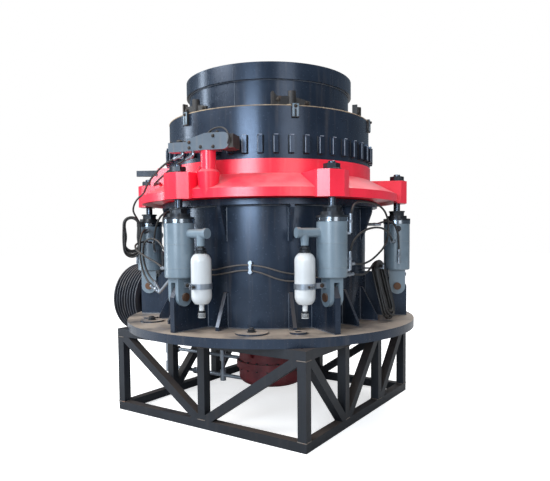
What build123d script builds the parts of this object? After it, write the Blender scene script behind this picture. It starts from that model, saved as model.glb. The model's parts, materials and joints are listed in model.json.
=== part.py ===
from build123d import *
import math
import os

# Cone crusher with six hydraulic release cylinders, on a welded box-section stand.
# Millimetres, +Z up. The origin is on the crusher's vertical axis, at the stand's underside.
# The grooved drive wheel points along -X.

# Stand
stand_side = 1630.0
stand_height = 610.0
stand_tube = 60.0
stand_shift_x = 18.0
stand_shift_y = -50.0

# Base plate
plate_thickness = 60.0
plate_margin = 49.0
discharge_r = 600.0
foundation_hole_inset = 174.0
foundation_hole_r = 22.0
foundation_hole_count = 4
foundation_disc_r = 56.0
foundation_disc_thickness = 12.0

# Main frame shell
shell_r = 740.0
shell_wall = 40.0
shell_height = 820.0
seat_flange_reach = 90.0
seat_flange_thickness = 40.0
rib_thickness = 25.0
rib_edge = 18.0
rib_foot = 8.0
rib_height = 240.0
rib_inset = 4.0
gusset_thickness = 25.0
gusset_reach = 130.0
gusset_edge = 25.0
gusset_top = 15.0
gusset_height = 240.0
rib_near_angle = 13.0
rib_far_angle = 20.0

# Hub in the middle of the frame
hub_r = 255.0
hub_top_drop = 410.0
hub_crown_rise = 60.0
hub_joint_drop = 320.0
hub_flange_edge = 20.0
hub_flange_thickness = 26.0
hub_cover_depth = 155.0
hub_bottom_round = 60.0
hub_shaft_gap = 5.0
arm_thickness = 80.0
arm_rise = 30.0
arm_height = 190.0
web_reach = 300.0
web_edge = 60.0
web_foot = 8.0
web_foot_rise = 70.0
web_thickness = 20.0

# Drive
drive_rise = 61.0
drive_housing_r = 105.0
drive_housing_overhang = 66.0
drive_flange_edge = 45.0
drive_flange_thickness = 40.0
drive_shaft_r = 55.0
drive_shaft_inner_end = 420.0
running_gap = 0.05
wheel_gap = 49.0
wheel_width = 280.0
wheel_r = 313.0
wheel_groove_count = 8
wheel_groove_pitch = 33.0
wheel_groove_depth = 24.0
wheel_groove_top = 24.0
wheel_groove_floor = 12.0
wheel_rim = 50.0
wheel_web = 45.0
wheel_hub_r = 115.0
wheel_hub_recess = 20.0
wheel_hub_step = 5.0
wheel_shaft_recess = 12.0

# Crushing head
head_setting = 62.0
head_foot_rise = 40.0
head_foot_edge = 10.0
head_band = 60.0
head_height = 520.0
head_top_r = 190.0
head_socket_r = 330.0
feed_plate_r = 225.0
feed_plate_thickness = 45.0
feed_plate_lip = 12.0
feed_plate_dish = 15.0
feed_plate_dish_start = 25.0
feed_plate_dish_run = 35.0

# Adjustment ring
ring_thread_inset = 50.0
ring_band_inset = 2.0
ring_band_height = 56.0
ring_neck_edge = 12.0
ring_cone_rise = 107.0
ring_neck_height = 94.0
ring_seat_width = 120.0
ring_pocket_depth = 26.0
ring_pocket_wall = 28.0
ring_pocket_slope = 20.0
lug_margin = 68.0
lug_width = 227.0
lug_top_drop = 1.0
lug_foot_drop = 5.0
lug_chamfer_out = 48.0
lug_chamfer_side = 62.0

# Adjustment cap and bowl
cap_edge = 76.0
cap_wall = 46.0
cap_height = 341.0
cap_lid = 28.0
bar_count = 48
bar_width = 30.0
bar_depth = 30.0
bar_rise = 35.0
bar_height = 115.0
thread_gap = 0.4
bowl_foot_drop = 340.0
bowl_foot_clearance = 45.0
bowl_foot_liner = 33.0
bowl_throat_inset = 152.0
bowl_throat_rise = 70.0
bowl_throat_height = 90.0
bowl_thread_rise = 30.0
bowl_flange_edge = 1.0
bowl_flange_thickness = 40.0
bowl_mouth_inset = 135.0

# Feed hopper
hopper_edge = 27.0
hopper_wall = 12.0
hopper_height = 316.0
hopper_rim_thickness = 21.0
hopper_rim_height = 111.0
hopper_rim_lip = 4.0
clamp_count = 6
clamp_first_angle = -43.0
clamp_inset = 76.0
clamp_boss_r = 27.0
clamp_boss_height = 107.0
clamp_disc_r = 42.0
clamp_disc_thickness = 12.0
clamp_wing_length = 125.0
clamp_wing_tall = 87.0
clamp_wing_mid = 62.0
clamp_wing_short = 33.0
clamp_wing_slope = 20.0
clamp_wing_thickness = 14.0
clamp_flange_depth = 36.0
clamp_tab_width = 47.0
clamp_tab_drop = 80.0
clamp_tab_thickness = 16.0

# Release cylinders and their brackets
cylinder_count = 6
cylinder_phase = -92.5
cylinder_gap = 54.5
cylinder_r = 97.5
cylinder_drop = 125.0
cylinder_headroom = 153.0
cylinder_foot_chamfer = 6.0
chrome_band_r = 101.0
chrome_band_height = 25.0
gland_ring_height = 14.0
gland_r = 75.0
gland_height = 22.0
gland_nut_across = 95.0
gland_nut_height = 27.0
gland_washer_r = 60.0
gland_washer_height = 10.0
rod_r = 25.0
rod_foot_depth = 172.0
rod_end_height = 16.0
rod_end_chamfer = 4.0
rod_hole_gap = 0.6
nut_across = 92.0
nut_height = 40.0
bracket_thickness = 38.0
bracket_margin = 73.0
bracket_nose_run = 35.0
bracket_nose_rise = 68.0
bracket_step_r = 72.0
bracket_step_run = 30.0
bracket_step_rise = 45.0
pin_rise = 227.0
pin_r = 22.0
pin_overhang = 12.0
pin_cap_r = 28.0
clevis_cheek = 26.0
clevis_radius = 60.0
clevis_bridge = 30.0
clevis_gap = 0.5

# Gas bottles
bottle_gap = 29.0
bottle_r = 64.5
bottle_drop = 34.0
bottle_shoulder = 50.0
bottle_neck_r = 30.0
bottle_foot_r = 43.0
collar_r = 38.0
collar_height = 16.0
collar_neck_r = 20.0
collar_neck_length = 28.0
tee_drop = 68.0
tee_r = 29.0
tee_leg_top_r = 28.0
tee_leg_foot_r = 24.0
tee_leg_length = 79.0
tee_overhang = 50.0
tee_cap_r = 33.0
tee_cap_length = 24.0
tee_cap_inset = 16.0
foot_neck_r = 16.0
foot_neck_length = 59.0
foot_valve_r = 24.0
foot_valve_height = 28.0
strap_rise = 77.0
strap_height = 34.0
strap_thickness = 5.0
strap_plate = 10.0

# Ring-turning ram on its post
post_gap = 8.4
post_inset = 55.0
post_r = 48.0
post_height = 37.0
post_boss_top_r = 72.0
post_boss_shoulder = 16.0
post_boss_foot_r = 54.0
post_boss_drop = 97.0
ram_heading = 16.5
ram_casing_left = 131.0
ram_casing_right = 80.0
ram_casing_half_width = 50.0
ram_casing_low = 70.0
ram_casing_high = 104.0
ram_cheek_thickness = 20.0
ram_cheek_reach = 160.0
ram_cheek_corner = 40.0
ram_box_length = 132.0
ram_box_half_width = 34.0
ram_box_height = 60.0
pawl_gap = 1.0
pawl_length = 100.0
pawl_height = 84.0
pawl_clearance = 6.5
pawl_floor = 10.0
pawl_nose_run = 30.0
pawl_back_run = 40.0
pawl_tip_share = 0.6
pawl_back_step = 8.0
ram_rod_r = 16.0
ram_rod_length = 120.0

# Cover discs on the base plate: (radius, angle, disc radius)
cover_discs = [(911.0, -63.5, 105.0), (934.0, -125.0, 85.0)]
cover_disc_thickness = 10.0

# Oil pipes under the base plate
oil_pipe_r = 15.0
oil_pipe_offset = 120.0
oil_pipe_high_rise = 24.0
oil_pipe_low_drop = 139.0
oil_pipe_left = 1020.0
oil_pipe_right = 400.0
oil_pipe_stub = 30.0
oil_joint_r = 24.0
oil_joint_reach = 45.0
oil_coupling_r = 27.0
oil_coupling_length = 44.0
oil_coupling_high_x = -915.0
oil_coupling_low_x = -690.0

# Hoses and their fittings
hose_r = 7.0
line_r = 5.0
fitting_r = 11.0
clip_angle = -65.8
clip_rise = 411.0
clip_lobe_r = 13.0
clip_bolt_r = 9.0
clip_height = 62.0
clip_width = 16.0
clip_depth = 30.0
hook_angle = 8.5
hook_rise = 377.0
hook_reach = 165.0
hook_r = 6.0
hook_tip = 26.0

# Hanks of hose: middle, height, width, depth, and the band that its turns fill
right_hank_middle = (903.5, 115.0, 895.0)
right_hank_lean = 14.7
right_hank_size = (440.0, 164.0, 56.0)
left_hank_middle = (-865.0, -648.0, 1290.0)
left_hank_heading = 48.3
left_hank_size = (330.0, 150.0, 50.0)
hank_band = 44.0
hank_end_length = 70.0
hank_end_shift = 40.0

# Guide arm on the far side of the ring
guide_angle = -147.0
guide_rise = 84.0
guide_plate = 30.0
guide_foot = 150.0
guide_inner_gap = 8.0
guide_arm_height = 44.0
guide_arm_start = 880.0
guide_arm_end = 1046.0
guide_arm_wide = 44.0
guide_arm_narrow = 26.0

# Routes, laid out on the photo's sizes: shell radius 740, base plate top 670, ring band radius 980, seat 1530
front_line_high = [
    (-36, -828, 1068), (-32, -783, 1066), (10, -760, 1062), (70, -757, 1062), (144, -748, 1080), (242, -722, 1096),
    (311, -696, 1098), (399, -650, 1084), (484, -589, 1050), (548, -531, 1033), (596, -478, 1040), (634, -433, 1050),
    (668, -427, 1060), (700, -446, 1066),
]
front_line_low = [
    (-36, -828, 1040), (-32, -783, 1038), (10, -760, 1032), (57, -759, 1026), (143, -748, 1040), (241, -722, 1060),
    (311, -696, 1062), (376, -663, 1046), (458, -610, 1006), (508, -569, 990), (548, -531, 986), (590, -484, 996),
    (632, -437, 1018), (667, -427, 1032), (700, -446, 1040),
]
right_loop_high = [
    (928, -469, 1385), (927, -455, 1432), (915, -400, 1478), (905, -310, 1503), (902, -190, 1508), (905, -70, 1506),
    (908, 50, 1490), (900, 160, 1452), (890, 235, 1392), (884, 255, 1318), (882, 235, 1245), (884, 160, 1192),
    (889, 50, 1150), (890, -70, 1112), (893, -190, 1094), (898, -300, 1096), (900, -400, 1103),
]
right_loop_low = [
    (926, -473, 1150), (925, -460, 1200), (924, -415, 1252), (928, -340, 1295), (935, -240, 1325), (942, -122, 1339),
    (942, 0, 1336), (935, 110, 1312), (922, 205, 1276), (903, 275, 1248), (893, 318, 1240),
]
right_drop = [
    (924, 361, 1144), (925, 357, 1215), (922, 350, 1290), (913, 337, 1345), (890, 315, 1383), (858, 288, 1392),
    (825, 265, 1382), (790, 248, 1368),
]
left_branch_high = [
    (-400, -668, 1472), (-420, -712, 1468), (-455, -735, 1440), (-505, -722, 1395), (-560, -690, 1345),
    (-620, -645, 1290), (-680, -595, 1235), (-730, -545, 1195), (-762, -505, 1180),
]
left_branch_near = [
    (-352, -700, 1472), (-373, -742, 1468), (-378, -780, 1440), (-362, -808, 1398), (-328, -832, 1358),
    (-285, -855, 1328), (-238, -880, 1308), (-190, -902, 1298), (-140, -928, 1296),
]
left_loop_outer = [
    (-440, -828, 922), (-505, -822, 962), (-565, -808, 1018), (-602, -799, 1090), (-614, -798, 1168),
    (-625, -790, 1235), (-655, -745, 1290), (-700, -690, 1325), (-745, -625, 1340), (-780, -568, 1345),
]
left_loop_inner = [
    (-475, -780, 952), (-540, -768, 990), (-600, -752, 1045), (-630, -748, 1115), (-630, -752, 1185),
    (-595, -775, 1238), (-540, -795, 1270), (-478, -800, 1278), (-420, -800, 1258), (-378, -808, 1226),
    (-340, -822, 1196), (-295, -840, 1172), (-245, -866, 1156), (-190, -897, 1148), (-140, -925, 1146),
]
left_crossing = [
    (-330, -848, 1070), (-394, -840, 1102), (-470, -845, 1135), (-545, -845, 1165), (-615, -830, 1195),
    (-680, -785, 1222), (-725, -720, 1242), (-742, -650, 1252), (-748, -585, 1250), (-752, -530, 1240),
]
side_hose_points = [
    right_loop_high, right_loop_low, right_drop, left_branch_high, left_branch_near, left_loop_outer,
    left_loop_inner, left_crossing,
]
right_lead = [
    (893, -405, 1036), (892, -330, 1030), (886, -240, 1022), (876, -150, 1020), (866, -65, 1035), (858, 5, 1062),
    (853, 62, 1086),
]
ram_lead = [
    (-50, -968, 1798), (-100, -975, 1784), (-160, -974, 1764), (-230, -958, 1738), (-305, -932, 1710),
    (-380, -898, 1684), (-450, -860, 1660), (-515, -818, 1638), (-577, -772, 1620), (-638, -729, 1609),
    (-700, -686, 1603), (-760, -660, 1592), (-808, -652, 1565), (-838, -650, 1522), (-856, -649, 1480),
    (-865, -648, 1452),
]
ram_return = [
    (20, -935, 1796), (-45, -930, 1778), (-115, -922, 1756), (-190, -905, 1732), (-265, -880, 1710),
    (-340, -848, 1690), (-415, -808, 1676), (-485, -760, 1670), (-550, -705, 1668), (-605, -645, 1672),
    (-650, -585, 1689), (-685, -532, 1702),
]
frame_fittings = [
    [(-36, -828, 1068), (-40, -900, 1068)],
    [(-36, -828, 1040), (-40, -900, 1040)],
    [(700, -446, 1066), (758, -483, 1066)],
    [(700, -446, 1040), (758, -483, 1040)],
    [(928, -469, 1385), (928, -469, 1300), (880, -497, 1300)],
    [(900, -400, 1103), (897, -480, 1103)],
    [(926, -473, 1150), (926, -473, 1068), (880, -499, 1068)],
    [(893, 318, 1240), (887, 362, 1240)],
    [(924, 361, 1144), (924, 361, 1080), (905, 392, 1080)],
    [(790, 248, 1368), (700, 220, 1368)],
    [(-400, -668, 1472), (-375, -627, 1472)],
    [(-762, -505, 1180), (-797, -478, 1180)],
    [(-352, -700, 1472), (-330, -656, 1472)],
    [(-140, -928, 1296), (-108, -945, 1296)],
    [(-440, -828, 922), (-398, -817, 894), (-125, -945, 1040)],
    [(-475, -780, 952), (-388, -820, 902)],
    [(-780, -568, 1345), (-820, -532, 1345)],
    [(-140, -925, 1146), (-108, -943, 1146)],
    [(-330, -848, 1070), (-120, -957, 1082)],
    [(-752, -530, 1240), (-792, -500, 1240)],
    [(893, -405, 1036), (880, -480, 1036)],
]
ram_fittings = [
    [(-50, -968, 1798), (-15, -963, 1808), (-15, -963, 1826)],
    [(20, -935, 1796), (52, -938, 1806), (52, -938, 1826)],
    [(-685, -532, 1702), (-720, -480, 1712)],
]

# Radii worked out from the sizes above
shell_inner_r = shell_r - shell_wall
seat_flange_r = shell_r + seat_flange_reach
cylinder_circle_r = seat_flange_r + cylinder_gap + cylinder_r
bracket_reach_r = cylinder_circle_r + bracket_margin
plate_r = bracket_reach_r + plate_margin
foundation_circle_r = plate_r - foundation_hole_inset
ring_thread_r = shell_r - ring_thread_inset
ring_seat_r = ring_thread_r + ring_seat_width
ring_band_r = cylinder_circle_r - ring_band_inset
lug_reach_r = cylinder_circle_r + lug_margin
cap_r = ring_thread_r + cap_edge
cap_inner_r = cap_r - cap_wall
ring_neck_r = cap_r + ring_neck_edge
bowl_thread_r = ring_thread_r - thread_gap
bowl_foot_r = shell_inner_r - bowl_foot_clearance
bowl_liner_r = bowl_foot_r - bowl_foot_liner
bowl_throat_r = bowl_liner_r - bowl_throat_inset
bowl_mouth_r = cap_inner_r - bowl_mouth_inset
head_foot_r = bowl_liner_r - head_setting
hopper_r = bowl_mouth_r + hopper_edge
hopper_rim_r = hopper_r + hopper_rim_thickness
clamp_circle_r = cap_r - clamp_inset
post_centre_r = ring_band_r - post_inset
post_offset = lug_width / 2 + post_gap + post_boss_top_r
post_angle = cylinder_phase + math.degrees(math.asin(post_offset / post_centre_r))
hub_flange_r = hub_r + hub_flange_edge
drive_flange_r = drive_housing_r + drive_flange_edge
bottle_spacing = cylinder_r + bottle_gap + bottle_r

# Heights worked out from the sizes above
plate_top_z = stand_height + plate_thickness
flange_low_z = plate_top_z + shell_height
seat_z = flange_low_z + seat_flange_thickness
hub_top_z = seat_z - hub_top_drop
hub_joint_z = stand_height - hub_joint_drop
hub_bottom_z = hub_joint_z - hub_cover_depth
arm_low_z = plate_top_z + arm_rise
drive_z = plate_top_z + drive_rise
head_foot_z = hub_top_z + head_foot_rise
head_top_z = hub_top_z + head_height
band_top_z = seat_z + ring_band_height
cone_top_z = band_top_z + ring_cone_rise
ring_top_z = cone_top_z + ring_neck_height
lug_top_z = cone_top_z - lug_top_drop
lug_low_z = seat_z - lug_foot_drop
cap_top_z = ring_top_z + cap_height
hopper_top_z = cap_top_z + hopper_height
pin_z = plate_top_z + pin_rise
cylinder_low_z = pin_z + cylinder_drop
cylinder_high_z = lug_low_z - cylinder_headroom
chrome_top_z = cylinder_high_z + chrome_band_height
gland_low_z = chrome_top_z + gland_ring_height
gland_top_z = gland_low_z + gland_height
gland_nut_top_z = gland_top_z + gland_nut_height
gland_end_z = gland_nut_top_z + gland_washer_height
rod_foot_z = cylinder_high_z - rod_foot_depth
rod_top_z = lug_top_z + nut_height + rod_end_height
bottle_low_z = pin_z - bottle_drop
tee_z = cylinder_high_z - tee_drop
neck_top_z = tee_z - tee_leg_length
bottle_high_z = neck_top_z - collar_neck_length - collar_height
strap_z = pin_z + strap_rise
post_top_z = ring_top_z + post_height
post_boss_top_z = ring_top_z - post_boss_drop

# Places along the drive
housing_end_x = -(plate_r + drive_housing_overhang)
wheel_inner_x = housing_end_x - wheel_gap
wheel_face_x = wheel_inner_x - wheel_width
groove_stack = wheel_groove_pitch * (wheel_groove_count - 1)


def polar(radius, angle):
    """The plan point at a radius and an angle in degrees."""
    return radius * math.cos(math.radians(angle)), radius * math.sin(math.radians(angle))


def cylinder_angles():
    """Angles of the six release cylinders."""
    return [cylinder_phase + 360.0 / cylinder_count * i for i in range(cylinder_count)]


def bottle_side(index):
    """The side of its cylinder on which a gas bottle stands: bottles face each other in pairs."""
    return 1.0 if index % 2 == 0 else -1.0


def tube(outer_r, inner_r, low, high):
    """A plain ring between two heights."""
    ring = Cylinder(outer_r, high - low) - Cylinder(inner_r, high - low + 2.0)
    return Pos(0, 0, (low + high) / 2) * ring


def rod(radius, low, high):
    """A plain round bar between two heights."""
    return Pos(0, 0, (low + high) / 2) * Cylinder(radius, high - low)


def turned(points):
    """A solid turned about the Z axis from (radius, height) points."""
    return revolve(Plane.XZ * make_face(Polyline(*points, close=True)), Axis.Z)


def slab(x0, x1, y0, y1, z0, z1):
    """A block given by its limits."""
    box = Box(x1 - x0, y1 - y0, z1 - z0)
    return Pos((x0 + x1) / 2, (y0 + y1) / 2, (z0 + z1) / 2) * box


def plate_on_xz(points, thickness):
    """A plate with an outline in the XZ plane, centred on Y."""
    return extrude(Plane.XZ * make_face(Polyline(*points, close=True)), thickness / 2, both=True)


def hexagon(across, low, high):
    """A hexagonal prism across its flats, between two heights."""
    return Pos(0, 0, low) * extrude(RegularPolygon(across / math.sqrt(3.0), 6), high - low)


def on_ring(shape, radius, angle):
    """Turn a shape that was made on the +X side and move it out to a radius."""
    return Rot(0, 0, angle) * Pos(radius, 0, 0) * shape


def around(make, angles):
    """One copy of a shape for each angle; the shape is made on the +X side."""
    return [Rot(0, 0, angle) * make() for angle in angles]


def group(solids):
    """Separate solids that share a node."""
    return Compound(children=list(solids))


def stand_frame(low):
    """A welded square frame of box section, its underside at a height."""
    outer = Box(stand_side, stand_side, stand_tube)
    inner = Box(stand_side - 2 * stand_tube, stand_side - 2 * stand_tube, stand_tube + 2.0)
    return Pos(stand_shift_x, stand_shift_y, low + stand_tube / 2) * (outer - inner)


def stand_post(x, y):
    """An upright between the two frames, at a plan point measured from the stand's middle."""
    height = stand_height - 2 * stand_tube
    return Pos(stand_shift_x + x, stand_shift_y + y, stand_height / 2) * Box(stand_tube, stand_tube, height)


def stand_posts():
    """Corner posts, mid posts front and back, and posts at the thirds of the other two sides."""
    edge = (stand_side - stand_tube) / 2
    third = stand_side / 6
    corners = [(x, y) for x in (-edge, edge) for y in (-edge, edge)]
    mids = [(0.0, -edge), (0.0, edge)]
    thirds = [(x, y) for x in (-edge, edge) for y in (-third, third)]
    return group([stand_post(x, y) for x, y in corners + mids + thirds])


def brace(start, end, rising):
    """A diagonal in the XZ plane that fills one bay, its ends cut to the posts and frames."""
    low, high = stand_tube, stand_height - stand_tube
    z0, z1 = (low, high) if rising else (high, low)
    length = math.hypot(end - start, high - low)
    tilt = math.degrees(math.atan2(z1 - z0, end - start))
    bar = Box(length + 4 * stand_tube, stand_tube, stand_tube)
    placed = Pos((start + end) / 2, 0, (low + high) / 2) * Rot(0, -tilt, 0) * bar
    return placed & slab(start, end, -stand_tube, stand_tube, low, high)


def stand_braces():
    """Diagonals of the four sides."""
    edge = (stand_side - stand_tube) / 2
    inner = stand_side / 2 - stand_tube
    half = stand_tube / 2
    third = stand_side / 6
    wide = [(-inner, -half, False), (half, inner, True)]
    thirds = [(-inner, -third - half, False), (-third + half, third - half, True), (third + half, inner, True)]
    shift = Pos(stand_shift_x, stand_shift_y, 0)
    bars = []
    for y in (-edge, edge):
        bars += [shift * Pos(0, y, 0) * brace(*bay) for bay in wide]
    for x in (-edge, edge):
        bars += [shift * Pos(x, 0, 0) * Rot(0, 0, 90) * brace(*bay) for bay in thirds]
    return group(bars)


def drive_cylinder(radius, x_low, x_high):
    """A round bar along the drive axis."""
    return Pos((x_low + x_high) / 2, 0, drive_z) * Rot(0, 90, 0) * Cylinder(radius, x_high - x_low)


def base_plate():
    """The round base plate with its discharge opening, bolt holes and the notch for the drive housing."""
    plate = tube(plate_r, discharge_r, stand_height, plate_top_z)
    plate -= drive_cylinder(drive_housing_r, -2 * plate_r, 0)
    for angle in foundation_angles():
        hole = rod(foundation_hole_r, stand_height - 1.0, plate_top_z + 1.0)
        plate -= on_ring(hole, foundation_circle_r, angle)
    return plate


def foundation_angles():
    """Angles of the foundation bolt holes."""
    return [45.0 + 360.0 / foundation_hole_count * i for i in range(foundation_hole_count)]


def foundation_disc():
    """A raised washer plate over a foundation hole."""
    disc = tube(foundation_disc_r, foundation_hole_r, plate_top_z, plate_top_z + foundation_disc_thickness)
    return Pos(foundation_circle_r, 0, 0) * disc


def frame_shell():
    """The round wall of the main frame, with the hole for the drive housing."""
    return tube(shell_r, shell_inner_r, plate_top_z, flange_low_z) - drive_cylinder(drive_housing_r, -2 * shell_r, 0)


def seat_flange():
    """The flange on top of the shell that carries the adjustment ring."""
    return tube(seat_flange_r, shell_inner_r, flange_low_z, seat_z)


def shell_rib():
    """A triangular rib under the seat flange."""
    inner = shell_r - shell_wall / 2
    outline = [
        (inner, flange_low_z),
        (seat_flange_r - rib_inset, flange_low_z),
        (seat_flange_r - rib_inset, flange_low_z - rib_edge),
        (shell_r + rib_foot, flange_low_z - rib_height),
        (inner, flange_low_z - rib_height),
    ]
    return plate_on_xz(outline, rib_thickness) - shell_core()


def shell_core():
    """The solid that the shell's outside fills, for seating what stands against it."""
    return rod(shell_r, plate_top_z - 1.0, seat_z)


def rib_angles():
    """Two ribs beside each cylinder, one behind its bottle and one on its other side."""
    angles = []
    for index, angle in enumerate(cylinder_angles()):
        side = bottle_side(index)
        angles += [angle + side * rib_near_angle, angle - side * rib_far_angle]
    return angles


def gusset():
    """A triangular gusset between the shell and the base plate."""
    inner = shell_r - shell_wall / 2
    outline = [
        (inner, plate_top_z),
        (shell_r + gusset_reach, plate_top_z),
        (shell_r + gusset_reach, plate_top_z + gusset_edge),
        (shell_r + gusset_top, plate_top_z + gusset_height),
        (inner, plate_top_z + gusset_height),
    ]
    return plate_on_xz(outline, gusset_thickness) - shell_core()


def cylinder_bracket():
    """The upright radial plate that a release cylinder is pinned to."""
    inner = shell_r - shell_wall / 2
    step_r = cylinder_circle_r - bracket_step_r
    nose_z = pin_z + bracket_nose_rise
    outline = [
        (inner, plate_top_z),
        (bracket_reach_r, plate_top_z),
        (bracket_reach_r, pin_z),
        (bracket_reach_r - bracket_nose_run, nose_z),
        (step_r, nose_z),
        (step_r - bracket_step_run, nose_z + bracket_step_rise),
        (inner, nose_z + bracket_step_rise),
    ]
    pin_hole = Pos(cylinder_circle_r, 0, pin_z) * Rot(90, 0, 0) * Cylinder(pin_r, bracket_thickness + 2.0)
    return plate_on_xz(outline, bracket_thickness) - shell_core() - pin_hole


def frame_hub():
    """The central hub that carries the head, with its bottom joint flange."""
    outline = [
        (0, hub_joint_z),
        (hub_flange_r, hub_joint_z),
        (hub_flange_r, hub_joint_z + hub_flange_thickness),
        (hub_r, hub_joint_z + hub_flange_thickness),
        (hub_r, hub_top_z - hub_crown_rise),
        (head_socket_r, hub_top_z),
        (0, hub_top_z),
    ]
    return turned(outline) - drive_cylinder(drive_shaft_r + hub_shaft_gap, -2 * hub_r, 0)


def hub_cover():
    """The bottom cover of the hub, a flange over a rounded drum."""
    drum = rod(hub_r, hub_bottom_z, hub_joint_z - 1.0)
    drum = fillet(drum.edges().group_by(Axis.Z)[0], hub_bottom_round)
    return drum + rod(hub_flange_r, hub_joint_z - hub_flange_thickness, hub_joint_z)


def hub_arm():
    """A radial arm between the hub and the shell."""
    top = arm_low_z + arm_height
    bar = slab(0, shell_r, -arm_thickness / 2, arm_thickness / 2, arm_low_z, top)
    bar &= rod(shell_inner_r, arm_low_z - 1.0, top + 1.0)
    return bar - rod(hub_r, arm_low_z - 2.0, top + 2.0)


def hub_web():
    """A triangular web under an arm, running down the hub."""
    inner = hub_r - web_foot
    outline = [
        (inner, arm_low_z),
        (hub_r + web_reach, arm_low_z),
        (hub_r + web_reach, arm_low_z - web_edge),
        (hub_r + web_foot, hub_joint_z + web_foot_rise),
        (inner, hub_joint_z + web_foot_rise),
    ]
    return plate_on_xz(outline, web_thickness) - rod(hub_r, 0, hub_top_z)


def drive_housing():
    """The housing tube of the countershaft, from the hub out past the base plate."""
    body = drive_cylinder(drive_housing_r, housing_end_x, -hub_r / 2)
    body += drive_cylinder(drive_flange_r, housing_end_x, housing_end_x + drive_flange_thickness)
    body -= rod(hub_r, 0, hub_top_z)
    return body - drive_cylinder(drive_shaft_r + running_gap, 2 * housing_end_x, 0)


def drive_shaft():
    """The countershaft that the grooved wheel is keyed to."""
    return drive_cylinder(drive_shaft_r, wheel_face_x + wheel_shaft_recess, -drive_shaft_inner_end)


def rim_outline():
    """Half section of the wheel's grooved rim: (radius, distance from its outer face)."""
    floor = wheel_r - wheel_rim
    points = [(floor, 0), (wheel_r, 0)]
    first = (wheel_width - groove_stack) / 2
    for i in range(wheel_groove_count):
        centre = first + wheel_groove_pitch * i
        bottom = wheel_r - wheel_groove_depth
        points.append((wheel_r, centre - wheel_groove_top / 2))
        points.append((bottom, centre - wheel_groove_floor / 2))
        points.append((bottom, centre + wheel_groove_floor / 2))
        points.append((wheel_r, centre + wheel_groove_top / 2))
    return points + [(wheel_r, wheel_width), (floor, wheel_width)]


def hub_outline():
    """Half section of the wheel's web and hub: (radius, distance from its outer face)."""
    middle = wheel_width / 2
    floor = wheel_r - wheel_rim
    start = wheel_shaft_recess + wheel_hub_recess
    end = wheel_width - wheel_hub_step
    return [
        (drive_shaft_r, start),
        (wheel_hub_r, start),
        (wheel_hub_r, middle - wheel_web / 2),
        (floor, middle - wheel_web / 2),
        (floor, middle + wheel_web / 2),
        (wheel_hub_r, middle + wheel_web / 2),
        (wheel_hub_r, end),
        (drive_shaft_r, end),
    ]


def on_drive(blank):
    """Lay a turned blank on the drive axis, its outer face towards -X."""
    return Pos(wheel_face_x, 0, drive_z) * Rot(0, 90, 0) * blank


def drive_wheel():
    """The grooved rim of the belt wheel."""
    return on_drive(turned(rim_outline()))


def wheel_hub():
    """The web and hub that key the belt wheel to the countershaft."""
    return on_drive(turned(hub_outline()))


def crushing_head():
    """The cone of the head, seated on the hub."""
    outline = [
        (0, hub_top_z),
        (head_socket_r, hub_top_z),
        (head_foot_r - head_foot_rise, head_foot_z),
        (head_foot_r, head_foot_z + head_foot_edge),
        (head_foot_r, head_foot_z + head_band),
        (head_top_r, head_top_z),
        (0, head_top_z),
    ]
    return turned(outline)


def feed_plate():
    """The dished plate on top of the head that spreads the feed."""
    top = head_top_z + feed_plate_thickness
    dish_start = feed_plate_r - feed_plate_dish_start
    outline = [
        (0, head_top_z),
        (head_top_r, head_top_z),
        (feed_plate_r, top - feed_plate_lip),
        (feed_plate_r, top),
        (dish_start, top),
        (dish_start - feed_plate_dish_run, top - feed_plate_dish),
        (0, top - feed_plate_dish),
    ]
    return turned(outline)


def ring_outline():
    """Half section of the adjustment ring's cone and band."""
    pocket = seat_z + ring_pocket_depth
    inner_wall = ring_band_r - ring_pocket_wall
    return [
        (ring_thread_r, seat_z),
        (ring_seat_r, seat_z),
        (ring_seat_r + ring_pocket_slope, pocket),
        (inner_wall - ring_pocket_slope / 2, pocket),
        (inner_wall, seat_z),
        (ring_band_r, seat_z),
        (ring_band_r, band_top_z),
        (ring_neck_r, cone_top_z),
        (ring_thread_r, cone_top_z),
    ]


def rod_hole():
    """The hole for a release rod through a lug and the ring's edge."""
    return Pos(cylinder_circle_r, 0, 0) * rod(rod_r + rod_hole_gap, seat_z - 50.0, ring_top_z)


def adjustment_ring():
    """The conical ring that the bowl screws into."""
    return turned(ring_outline()) - around(rod_hole, cylinder_angles())


def ring_neck():
    """The upright collar on top of the adjustment ring."""
    return tube(ring_neck_r, ring_thread_r, cone_top_z, ring_top_z)


def ring_blank():
    """The adjustment ring and its neck without bore and pocket, for seating what stands on them."""
    return turned(
        [
            (0, seat_z),
            (ring_band_r, seat_z),
            (ring_band_r, band_top_z),
            (ring_neck_r, cone_top_z),
            (ring_neck_r, ring_top_z),
            (0, ring_top_z),
        ]
    )


def ring_lug():
    """A lug of the adjustment ring, drilled for the rod of a release cylinder."""
    half = lug_width / 2
    outline = [
        (ring_neck_r, -half),
        (lug_reach_r - lug_chamfer_out, -half),
        (lug_reach_r, -half + lug_chamfer_side),
        (lug_reach_r, half - lug_chamfer_side),
        (lug_reach_r - lug_chamfer_out, half),
        (ring_neck_r, half),
    ]
    body = Pos(0, 0, lug_low_z) * extrude(make_face(Polyline(*outline, close=True)), lug_top_z - lug_low_z)
    body -= rod(ring_band_r, lug_low_z - 1.0, seat_z)
    return body - ring_blank() - rod_hole()


def release_cylinder():
    """The barrel of a release cylinder."""
    barrel = rod(cylinder_r, cylinder_low_z, cylinder_high_z)
    barrel = chamfer(barrel.edges().group_by(Axis.Z)[0], cylinder_foot_chamfer)
    return barrel - rod(rod_r + running_gap, rod_foot_z - 10.0, cylinder_high_z + 1.0)


def rod_bore():
    """The clearance round a rod inside the pieces at its cylinder's top."""
    return rod(rod_r + running_gap, cylinder_high_z - 1.0, gland_end_z + 1.0)


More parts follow.
